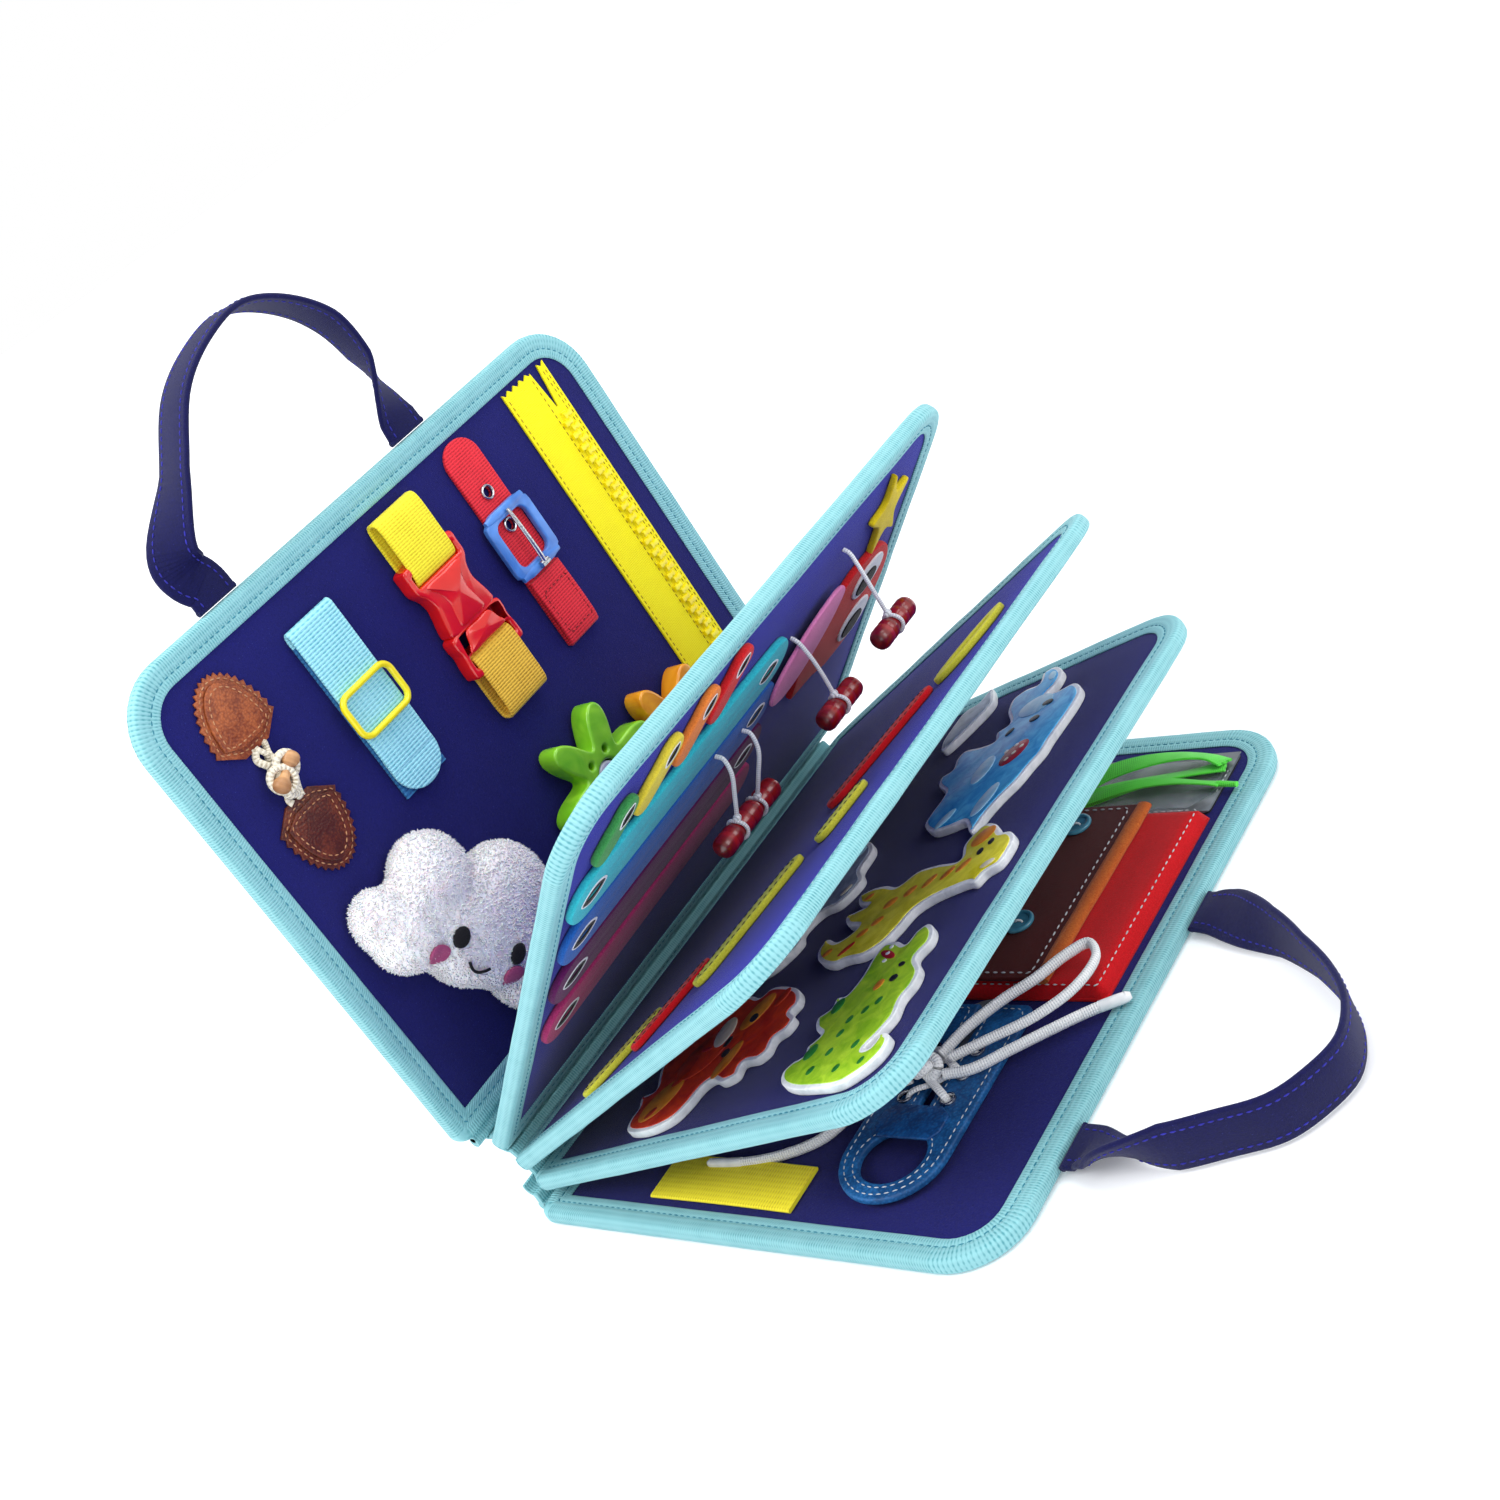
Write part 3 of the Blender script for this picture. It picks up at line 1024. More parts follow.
# A bag's front: flat where it is full, rolled down to the cover along its sewn sides, and open at its mouth
def makePouch(shape):
    width, length, roll = shape["width"], shape["length"], shape["roll"]
    across, down = 46, 52
    points, faces = [], []
    for i in range(across + 1):
        for j in range(down + 1):
            x = width * (i / across - 0.5)
            y = length * (j / down - 0.5)
            near = max(min(width / 2 - x, length / 2 - abs(y)), 0)
            share = min(near / roll, 1)
            crown = 0.55 * math.sin(math.pi * i / across) * math.sin(math.pi * j / down)
            sag = 0.25 * math.sin(x / 9.0 + y / 17.0) * math.sin(y / 13.0) * share
            points.append((x, y, (shape["depth"] - 0.7) * math.sqrt(1 - (1 - share) ** 2) + crown * share
                           + sag))
    for i in range(across):
        for j in range(down):
            a = i * (down + 1) + j
            faces.append((a, a + down + 1, a + down + 2, a + 1))
    front = newObject("front", shapeMesh(points, faces))
    wall = front.modifiers.new("wall", "SOLIDIFY")
    wall.thickness = shape["wall"]
    wall.offset = -1
    mesh = bakedMesh(front)
    mesh.transform(Matrix.Translation((0, 0, 0.1)))
    back = plateMesh([roundedBox(-width / 2, width / 2, -length / 2, length / 2, 1.5)], 0, 1.3, 0.4)
    place = spot("right_cover", 1, shape["u"], shape["v"])
    at = (place, "right_cover", "felt_red")
    for corner in mesh.vertices:
        corner.co.z = max(corner.co.z, 0.05)
    finishPiece("pouch_bag", joinMeshes([mesh, back]), "redFelt", *at, 50, stands="pouch_body")
    edge = [(-width / 2 + 1, -length / 2 + 2.2, 6.6), (width / 2 - 2.6, -length / 2 + 2.2, 6.6),
            (width / 2 - 2.6, length / 2 - 2.2, 6.6), (-width / 2 + 1, length / 2 - 2.2, 6.6)]
    sewStitches("pouch_seam", [edge], "whiteThread", *at, 3.6, 2.2, 0.3)


def makeFlap(shape):
    half = shape["length"] / 2 - 1
    reach = shape["flapReach"]
    place = spot("right_cover", 1, shape["u"] - shape["width"] / 2, shape["v"], shape["flapLift"])
    at = (place, "pouch_flap", "felt_dark_red")
    path = [(reach * i / 24, 0, 0.55 * math.sin(math.pi * i / 24) + 0.35 * math.sin(2.4 * math.pi * i / 24))
            for i in range(25)]
    sheet = sweepMesh(path[:-2], strapSection(2 * half, shape["flapThick"]), (0, 1, 0))
    fold = sweepMesh([(0, y * half, 0) for y in (-1, -0.6, -0.2, 0.2, 0.6, 1)], circle(1.6, 14), (0, 0, 1))
    finishPiece("flap_felt", joinMeshes([sheet, fold]), "darkRedFelt", *at, 50, stands="pouch_flap")
    hem = sweepMesh([(reach - 3.6, y * half, 0.2) for y in (-1, -0.75, -0.5, -0.25, 0, 0.25, 0.5, 0.75, 1)],
                    oval(0, 0, 3.6, 2.1, 0, 16), (1, 0, 0), [0.9, 1, 1.02, 0.98, 1.03, 1, 0.98, 1, 0.9])
    finishPiece("flap_hem", hem, "amberFelt", *at, 60)
    top = shape["flapThick"] / 2 + 0.35
    corners = [(1.5, -half + 3), (reach - 9, -half + 3), (reach - 9, half - 3), (1.5, half - 3)]
    seam = [(x, y, top + 0.15) for x, y in corners]
    sewStitches("flap_seam", [seam], "whiteThread", *at, 3.8, 2.4, 0.34)
    for number, (x, y) in enumerate(shape["buttonPlaces"], 1):
        makeButton(f"button_{number}", place @ Matrix.Translation((x, y, top)), shape["button"])


# A two-hole button with a rim, sewn through its holes
def makeButton(name, place, radius):
    holes = [oval(x, 0, 0.85, 0.85, 0, 12) for x in (-1.7, 1.7)]
    face = plateMesh([circle(radius * 0.72, 40)] + holes, 0, 1.3, 0.2)
    ring = hoopMesh(0, 0, 1.1, radius * 0.84, 1.05, 1.15, 48, 12)
    finishPiece(name, joinMeshes([face, ring]), "tealPlastic", place, "pouch_flap", "felt_dark_red")
    thread = sweepMesh([(-1.7, 0, 0.9), (-1.2, 0, 1.7), (0, 0, 1.85), (1.2, 0, 1.7), (1.7, 0, 0.9)],
                       circle(0.45, 8), (0, 1, 0))
    finishPiece(name + "_thread", thread, "whiteThread", place, "pouch_flap", "felt_dark_red", 60)


windowShape = {"u": 167.9, "v": 107.9, "width": 92, "length": 38, "corner": 13, "frame": 3.2}


def makeWindowPocket(shape):
    place = spot("right_cover", 1, shape["u"], shape["v"])
    at = (place, "right_cover", "vinyl_clear")
    half = (shape["width"] / 2, shape["length"] / 2)
    lining = plateMesh([roundedBox(-half[0], half[0], -half[1], half[1], 2.5)], 0, 0.9, 0.3)
    finishPiece("pocket_lining", lining, "blackLining", *at, stands="window_pocket")
    inner = [half[0] - shape["frame"], half[1] - shape["frame"]]
    rim = plateMesh([roundedBox(-half[0], half[0], -half[1], half[1], 2.5),
                     roundedBox(-inner[0], inner[0], -inner[1], inner[1], 1.5)], 0.9, 0.5, 0.15)
    finishPiece("pocket_rim", rim, "silver", *at)
    film = plateMesh([roundedBox(-inner[0], inner[0], -inner[1], inner[1], 1.5)], 1.1, 0.4, 0.1)
    finishPiece("pocket_film", film, "vinyl", *at)
    size = shape["corner"]
    tips = [plateMesh([[(sx * half[0], sy * half[1]), (sx * (half[0] - size), sy * half[1]),
                        (sx * half[0], sy * (half[1] - size))]],
                      1.5, 0.5, 0.15) for sx, sy in ((1, 1), (1, -1), (-1, 1), (-1, -1))]
    finishPiece("pocket_corners", joinMeshes(tips), "silver", *at)
    edge = [(x, y, 1.45)
            for x, y in roundedBox(-half[0] + 1.5, half[0] - 1.5, -half[1] + 1.5, half[1] - 1.5, 1.5)]
    sewStitches("pocket_seam", [edge], "whiteThread", *at, 3.2, 2.2, 0.26, True)


ribbonRoutes = {
    "wide": (8.5, 1.1, [(136, 97, 5.6), (148, 104, 8), (160, 111, 10.2), (176, 116, 11), (192, 119, 10),
                        (204, 119, 8.4), (212, 116, 7.4)]),
    "under": (8.5, 1.1, [(212, 116, 6), (200, 113, 6), (184, 108, 7.2), (168, 101, 8.6), (152, 96, 7.4),
                         (138, 92, 5.4)]),
    "slim": (5.0, 1.0, [(150, 94, 6.6), (164, 97, 9.6), (178, 101, 10.4), (192, 103.5, 9), (206, 104, 7),
                        (214, 103.5, 6.2)]),
    "tip": (2.6, 2.2, [(213, 103.6, 6.3), (218, 103.2, 6.0), (222, 103, 5.8)]),
}


def makeRibbons(routes):
    parts = []
    for width, thick, route in routes.values():
        path = smoothPath(route, 40)
        parts.append(sweepMesh(path, strapSection(width, thick), (0, 1, 0),
                               twists=[0.35 * math.sin(i / 7.0) for i in range(len(path))]))
    finishPiece("ribbons", joinMeshes(parts), "greenRibbon", leafPlace("right_cover", 1), "right_cover",
                "ribbon_green", 50, stands="green_ribbon")


shoeShape = {"u": 165.6, "v": -75.4, "width": 46, "length": 99, "thick": 3, "toeWall": 9, "toeHole": 26,
             "slit": 5,
             "lift": 2.3, "rows": [-0.5, 12, 24.5], "columns": 10, "eyelet": 2.4, "hoop": 2.7,
             "tongue": {"u": 165.6, "v": -49.3, "half": 12.5, "rise": 17, "thick": 2}}


def makeShoe(shape):
    half = (shape["width"] / 2, shape["length"] / 2)
    toeCentre = -half[1] + shape["toeWall"] + shape["toeHole"] / 2
    slitStart = toeCentre + shape["toeHole"] / 2 + shape["toeWall"]

    # the toe is a half round, the heel end nearly square; a keyhole opens the facings
    def sole(inset):
        points = []
        for i in range(25):
            angle = math.pi + math.pi * i / 24
            points.append(((half[0] - inset) * math.cos(angle),
                           -half[1] + half[0] + (half[0] - inset) * math.sin(angle)))
        for i in range(7):
            angle = math.pi / 2 * i / 6
            points.append((half[0] - inset - 4 + 4 * math.cos(angle),
                           half[1] - inset - 4 + 4 * math.sin(angle)))
        points += [(shape["slit"] / 2 + inset, half[1] - inset),
                   (shape["slit"] / 2 + inset, slitStart + 1 - inset)]
        points += [(-shape["slit"] / 2 - inset, slitStart + 1 - inset),
                   (-shape["slit"] / 2 - inset, half[1] - inset)]
        for i in range(7):
            angle = math.pi / 2 + math.pi / 2 * i / 6
            points.append((-half[0] + inset + 4 + 4 * math.cos(angle),
                           half[1] - inset - 4 + 4 * math.sin(angle)))
        return points

    def toeHole(grow):
        wide = half[0] - shape["toeWall"] + grow
        return oval(0, toeCentre - 1, wide, shape["toeHole"] / 2 + grow, 0, 36)

    eyelets = [(side * shape["columns"], row) for side in (-1, 1) for row in shape["rows"]]
    rings = [oval(x, y, shape["eyelet"], shape["eyelet"], 0, 16) for x, y in eyelets]
    place = spot("right_cover", 1, shape["u"], shape["v"], shape["lift"])
    at = (place, "right_cover", "leather_blue")
    upper = plateMesh([sole(0), toeHole(0)] + rings, 0, shape["thick"], 0.9, 3)
    finishPiece("shoe_leather", upper, "shoeLeather", *at, stands="shoe_upper")
    patch = [(-15, slitStart - 11), (-12, slitStart - 15), (12, slitStart - 15), (15, slitStart - 11),
             (15, slitStart - 3),
             (10, slitStart + 1), (-10, slitStart + 1), (-15, slitStart - 3)]
    finishPiece("shoe_patch", plateMesh([patch], shape["thick"] - 0.2, 1.3, 0.5), "shoeTrim", *at)
    top = shape["thick"] + 0.05
    lines = [[(x, y, top) for x, y in sole(2.6)], [(x, y, top) for x, y in toeHole(2.2)]]
    sewStitches("shoe_seam", lines, "whiteThread", *at, 3.3, 2.2, 0.26, True)
    hoops = [hoopMesh(x, y, top + 0.1, shape["hoop"], 1.0, 0.62) for x, y in eyelets]
    finishPiece("shoe_eyelets", joinMeshes(hoops), "nickel", place, "right_cover", "metal_nickel")
    tongue = shape["tongue"]
    wide, rise = tongue["half"], tongue["rise"]
    loop = [(wide * math.cos(a), rise + wide * math.sin(a)) for a in (math.pi * i / 20 for i in range(21))]
    loop += [(-wide, -rise), (wide, -rise)]
    tonguePlace = spot("right_cover", 1, tongue["u"], tongue["v"])
    finishPiece("tongue_felt", plateMesh([loop], 0, tongue["thick"], 0.6), "greyFelt", tonguePlace,
                "right_cover", "felt_grey", stands="shoe_tongue")
    crossings = []
    for a, b in ((0, 1), (1, 2)):
        for side in (-1, 1):
            path = smoothPath([(side * 10, shape["rows"][a], 1.2),
                               (side * 7, shape["rows"][a] + 1.5, top + 1.6),
                               (0, (shape["rows"][a] + shape["rows"][b]) / 2,
                                top + (2.3 if side > 0 else 1.2)),
                               (-side * 7, shape["rows"][b] - 1.5, top + 1.6),
                               (-side * 10, shape["rows"][b], 1.2)], 20)
            crossings.append(sweepMesh(path, ovalSection(3.6, 2.0), (0, 1, 0)))
    finishPiece("shoe_lacing", joinMeshes(crossings), "lace", place, "right_cover", "cord_white", 60)


makePouch(pouchShape)
makeFlap(pouchShape)
makeWindowPocket(windowShape)
makeRibbons(ribbonRoutes)
makeShoe(shoeShape)
yellowTab = {"u": 95, "v": -120, "lift": 0.1, "half": 36, "width": 22, "tape": 1.7}
tabPath = [(x, 0, 1.0 + 0.5 * math.sin((x + yellowTab["half"]) / 23))
           for x in range(-yellowTab["half"], yellowTab["half"] + 1, 6)]
finishPiece("yellow_tab", sweepMesh(tabPath, strapSection(yellowTab["width"], yellowTab["tape"]), (0, 1, 0)),
            "yellowWebbing", spot("right_cover", 1, yellowTab["u"], yellowTab["v"], yellowTab["lift"]),
            "right_cover", "felt_yellow")
print("right cover dressed")

# Page 3: animals cut from foam, with a printed film on top

foamShape = {"thick": 3.4, "film": 0.4, "border": 2.0}
# Each animal: its size, place and turn, its outline in shares of its size, and its prints, the lowest first.
# A print is a list of ovals: the middle in shares of the size, the half axes in millimetres and the turn
animals = {
    "elephant": {
        "slot": "foam_blue", "length": 96.5, "height": 81.7, "place": (160.6, 68.7), "turn": 62,
        "shares": [
            (0.026, 0.555), (0.094, 0.609), (0.16, 0.642), (0.208, 0.686), (0.24, 0.846), (0.289, 0.905),
            (0.334, 0.869), (0.395, 0.939), (0.448, 0.952), (0.49, 0.8), (0.527, 0.719), (0.576, 0.788),
            (0.633, 0.753), (0.708, 0.916), (0.785, 1), (0.849, 0.964), (0.889, 0.881), (0.955, 0.953),
            (1, 0.905), (0.973, 0.763), (0.902, 0.695), (0.836, 0.684), (0.859, 0.571), (0.904, 0.493),
            (0.868, 0.352), (0.795, 0.279), (0.673, 0.209), (0.579, 0.158), (0.509, 0.109), (0.426, 0.09),
            (0.339, 0.062), (0.245, 0.064), (0.154, 0.046), (0.044, 0), (0.083, 0.177), (0.037, 0.279),
            (0, 0.395)],
        "marks": {
            "saddle": [(0.476, 0.368, 8, 6.5, 0)],
            "muzzle": [
                (0.435, 0.378, 1.2, 1.2, 0), (0.476, 0.368, 1.2, 1.2, 0), (0.518, 0.357, 1.2, 1.2, 0),
                (0.475, 0.454, 1.2, 1.2, 0), (0.519, 0.421, 1.2, 1.2, 0)],
            "paleBlue": [
                (0.753, 0.65, 7, 10, 20), (0.36, 0.509, 9, 5, 30), (0.211, 0.175, 10, 4, 20),
                (0.941, 0.81, 4, 2, 60), (0.075, 0.383, 6, 3, 0)],
            "ink": [(0.776, 0.55, 2, 3.2, 20), (0.677, 0.518, 2, 3, 20), (0.586, 0.639, 2.6, 1.6, 0)]}},
    "giraffe": {
        "slot": "foam_yellow", "length": 96.4, "height": 54, "place": (163.2, -19.3), "turn": 25,
        "shares": [
            (0.015, 0.371), (0, 0.529), (0.032, 0.612), (0.11, 0.462), (0.174, 0.453), (0.21, 0.503),
            (0.134, 0.655), (0.117, 0.793), (0.178, 0.775), (0.234, 0.753), (0.173, 0.869), (0.163, 1),
            (0.223, 1), (0.313, 0.902), (0.396, 0.759), (0.492, 0.794), (0.602, 0.698), (0.725, 0.552),
            (0.73, 0.743), (0.772, 0.838), (0.829, 0.878), (0.886, 0.772), (0.923, 0.588), (0.972, 0.512),
            (1, 0.379), (0.98, 0.233), (0.941, 0.129), (0.874, 0.125), (0.832, 0.067), (0.788, 0.128),
            (0.696, 0.192), (0.599, 0.236), (0.522, 0.221), (0.458, 0.1), (0.394, 0.011), (0.293, 0),
            (0.184, 0.107), (0.118, 0.146)],
        "marks": {
            "spotOrange": [
                (0.834, 0.682, 6, 5, 20), (0.756, 0.414, 4, 2.2, 30), (0.675, 0.447, 4, 2, 30),
                (0.58, 0.5, 4, 2.2, 30), (0.48, 0.531, 3.4, 2.4, 20), (0.378, 0.541, 3.6, 2.6, 10),
                (0.328, 0.378, 3.2, 2.2, 0), (0.255, 0.336, 3, 2, 0), (0.069, 0.367, 2.6, 2, 0),
                (0.231, 0.87, 2.6, 1.6, 0)],
            "mane": [(0.184, 0.238, 4.4, 1.6, 20)],
            "ink": [(0.834, 0.467, 1.6, 2.2, 0), (0.884, 0.518, 1.5, 2, 0), (0.887, 0.225, 0.8, 0.8, 0)],
            "muzzle": [(0.887, 0.211, 3.4, 1.8, 0)]}},
    "crocodile": {
        "slot": "foam_green", "length": 79.9, "height": 63.3, "place": (187.6, -86.3), "turn": 74,
        "shares": [
            (0.026, 0.794), (0.082, 0.867), (0.139, 0.85), (0.182, 0.79), (0.236, 0.831), (0.271, 0.809),
            (0.306, 0.797), (0.339, 0.914), (0.404, 1), (0.465, 0.945), (0.529, 0.974), (0.549, 0.896),
            (0.584, 0.886), (0.678, 0.905), (0.795, 0.964), (0.874, 0.953), (0.892, 0.85), (0.876, 0.714),
            (0.952, 0.714), (1, 0.664), (0.971, 0.556), (0.895, 0.478), (0.802, 0.485), (0.719, 0.324),
            (0.636, 0.264), (0.553, 0.259), (0.451, 0.186), (0.354, 0.187), (0.256, 0.207), (0.265, 0.143),
            (0.345, 0.148), (0.334, 0.05), (0.273, 0), (0.199, 0.005), (0.123, 0.059), (0.052, 0.162),
            (0.014, 0.389), (0, 0.637)],
        "marks": {
            "spotGreen": [
                (0.479, 0.871, 4, 3, 20), (0.203, 0.729, 4, 3, 10), (0.405, 0.609, 2, 1.6, 0),
                (0.465, 0.524, 2, 1.6, 0), (0.323, 0.58, 2, 1.6, 0), (0.215, 0.526, 2, 1.6, 0),
                (0.271, 0.316, 2.2, 1.6, 0), (0.132, 0.308, 2, 1.6, 0), (0.103, 0.561, 2.2, 1.8, 0),
                (0.187, 0.118, 1.8, 1.4, 0), (0.523, 0.462, 2, 1.6, 0)],
            "saddle": [(0.803, 0.806, 6.4, 1.7, 78)],
            "whiteFoam": [
                (0.762, 0.783, 0.9, 1.3, 0), (0.809, 0.816, 0.9, 1.3, 0), (0.851, 0.84, 0.9, 1.3, 0)],
            "spotOrange": [(0.615, 0.61, 2.8, 2.2, 0)],
            "ink": [(0.658, 0.507, 1.8, 2.2, 0), (0.743, 0.548, 1.2, 1.8, 0)]}},
    "lion": {
        "slot": "foam_red", "length": 86, "height": 81.6, "place": (87.5, -86.7), "turn": 50,
        "shares": [
            (0, 0.425), (0.027, 0.505), (0.076, 0.549), (0.111, 0.643), (0.184, 0.594), (0.214, 0.688),
            (0.238, 0.771), (0.311, 0.867), (0.398, 0.956), (0.487, 1), (0.564, 0.982), (0.621, 0.791),
            (0.667, 0.723), (0.714, 0.767), (0.781, 0.727), (0.825, 0.617), (0.888, 0.61), (0.962, 0.478),
            (1, 0.323), (0.972, 0.218), (0.925, 0.198), (0.925, 0.091), (0.869, 0.051), (0.81, 0.068),
            (0.756, 0), (0.697, 0.006), (0.63, 0.088), (0.585, 0.031), (0.513, 0.072), (0.469, 0.191),
            (0.415, 0.208), (0.326, 0.16), (0.241, 0.142), (0.15, 0.191), (0.06, 0.293)],
        "marks": {
            "spotOrange": [(0.207, 0.418, 12, 8, 10), (0.787, 0.472, 10, 6, 20), (0.57, 0.242, 10, 4, 30)],
            "mane": [
                (0.473, 0.508, 14, 12, 0), (0.14, 0.373, 3.4, 2, 0), (0.92, 0.398, 5, 3, 30),
                (0.331, 0.466, 5, 3, 0)],
            "muzzle": [(0.606, 0.548, 9, 5.4, 60)],
            "ink": [(0.603, 0.421, 3, 1.8, 40), (0.759, 0.435, 2.2, 2.8, 0), (0.574, 0.323, 2.2, 2.6, 0)],
            "saddle": [(0.493, 0.534, 1.2, 3.4, 40)]}},
    "hippo": {
        "slot": "foam_grey", "length": 84, "height": 50, "place": (82.1, -5.6), "turn": 62,
        "shares": [
            (0, 0.3), (0.04, 0.66), (0.2, 0.86), (0.44, 0.9), (0.6, 0.94), (0.7, 1.02), (0.8, 0.92),
            (0.94, 0.86), (1, 0.62), (0.96, 0.4), (0.84, 0.26), (0.78, 0.04), (0.62, 0.02), (0.54, 0.18),
            (0.42, 0.18), (0.36, 0.02), (0.2, 0.02), (0.1, 0.14)],
        "marks": {
            "ink": [(0.82, 0.72, 1.3, 1.6, 0), (0.95, 0.6, 0.6, 0.6, 0)],
            "paleBlue": [(0.92, 0.56, 4, 3, 0), (0.4, 0.6, 8, 4, 10)],
            "muzzle": [(0.7, 0.1, 3.4, 1.4, 0), (0.26, 0.1, 3.4, 1.4, 0)]}},
}


def makeAnimal(name, animal, shape, ink, stands):
    place = spot("page_3", 1, *animal["place"], 0, animal["turn"])
    loop = smoothOutline(animal["shares"], animal["length"], animal["height"])
    foam = plateMesh([loop], 0, shape["thick"], 0.6, 3)
    finishPiece(name + "_foam", foam, "whiteFoam", place, "page_3", animal["slot"], stands=stands)
    film = plateMesh([drawnIn(loop, shape["border"])], shape["thick"] - 0.05, shape["film"], 0.15)
    finishPiece(name + "_film", film, ink, place, "page_3", animal["slot"])
    for layer, (finish, ovals) in enumerate(animal["marks"].items()):
        marks = [plateMesh([oval((x - 0.5) * animal["length"], (y - 0.5) * animal["height"], a, b, turn)],
                           shape["thick"] + shape["film"] - 0.1, 0.15 + 0.05 * layer, 0.05, 1)
                 for x, y, a, b, turn in ovals]
        finishPiece(f"{name}_{finish}", joinMeshes(marks), finish, place, "page_3", animal["slot"])


for animalName, animalShape in animals.items():
    makeAnimal(animalName, animalShape, foamShape, animalName, "animal_" + animalName)
# The small grey figure that the page above nearly hides
makeAnimal("grey_fish", {
    "slot": "foam_grey", "length": 38, "height": 22, "place": (108, 112), "turn": 58,
    "shares": [(0, 0.1), (0.1, 0.5), (0.35, 0.8), (0.6, 1), (0.75, 0.8), (1, 0.9), (0.92, 0.5), (0.8, 0.2),
               (0.4, 0.05)],
    "marks": {}}, {**foamShape, "border": 1.7}, "hippo", None)
print("page 3 dressed")

# Page 2: shapes of felt, of which the camera sees only the tops

feltShapes = {
    "felt_bar_1": ("redFelt", "felt_red", 62, 15, (159.6, 22.2), 64),
    "felt_bar_2": ("limeFelt", "felt_yellow", 62, 15, (150.5, -72.3), 72),
    "bar_3": ("redFelt", "felt_red", 44, 12, (116, -100), 52),
    "bar_4": ("limeFelt", "felt_yellow", 46, 13, (86, -112), 40),
    "bar_5": ("limeFelt", "felt_yellow", 30, 12, (178, -28), 70),
}


feltThick = 2.6
feltRing = {"place": (190, 66), "turn": 64, "outer": (21, 10), "inner": (14, 5.2)}


def makeFeltShapes(shapes, ring):
    for name, (felt, slot, length, width, at, turn) in shapes.items():
        place = spot("page_2", 1, *at, 0, turn)
        at = (place, "page_2", slot)
        loop = [(x, y + 1.2 * math.sin(x / 7.0))
                for x, y in roundedBox(-length / 2, length / 2, -width / 2, width / 2, width * 0.45)]
        finishPiece(name + "_felt", plateMesh([loop], 0, feltThick, 0.8), felt, *at,
                    stands=name if name.startswith("felt") else None)
        line = [(x * 0.9, y * 0.72, feltThick + 0.05) for x, y in loop]
        sewStitches(name + "_seam", [line], "blackThread", *at, 3.2, 2.1, 0.26, True)
    loops = [oval(0, 0, *ring["outer"]), oval(0, 0, *ring["inner"])]
    finishPiece("felt_ring", plateMesh(loops, 0, feltThick, 0.8), "limeFelt",
                spot("page_2", 1, *ring["place"], 0, ring["turn"]), "page_2", "felt_yellow")


makeFeltShapes(feltShapes, feltRing)

# Page 1: a felt octopus whose arms have button slots

octopusShape = {
    "long": (24, 26), "short": (12, 14), "longFrom": 60, "thick": 3, "slot": (3.3, 1.0), "patch": (4.8, 2.9),
    "rim": (5.4, 3.5), "head": 58, "headLength": 74, "at": (136.8, 48.65), "eyes": {"left": -13, "right": 14},
    "star": {"place": (186, 101), "turn": 12, "reach": 15, "valley": 7.5, "stretch": 1.7, "thick": 2.8},
    "mantle": {"place": (157, 43), "turn": -58, "length": 56, "height": 30, "thick": 1.8, "shares": [
        (0.1, 0.2), (0, 0.5), (0.12, 0.86), (0.4, 1), (0.72, 0.94), (0.96, 0.72), (1, 0.4), (0.8, 0.12),
        (0.5, 0),
        (0.26, 0.04)]},
}
# Each arm's root and tip on the page: u and v
arms = {
    "red": ((194, -37), (209, -24)),
    "orange": ((193, -60), (208, -47)),
    "yellow": ((191, -85), (205, -71)),
    "green": ((188.7, -110), (199, -98.5)),
    "cyan": ((174.5, 10), (168.5, -114)),
    "blue": ((148, 10), (141.5, -114)),
    "purple": ((121.5, 10), (114, -114)),
    "magenta": ((95, 10), (83, -113)),
}


def almond(x, a, b):
    return [(x + a * px, b * py * (1 - 0.35 * px ** 2)) for px, py in circle(1, 24)]


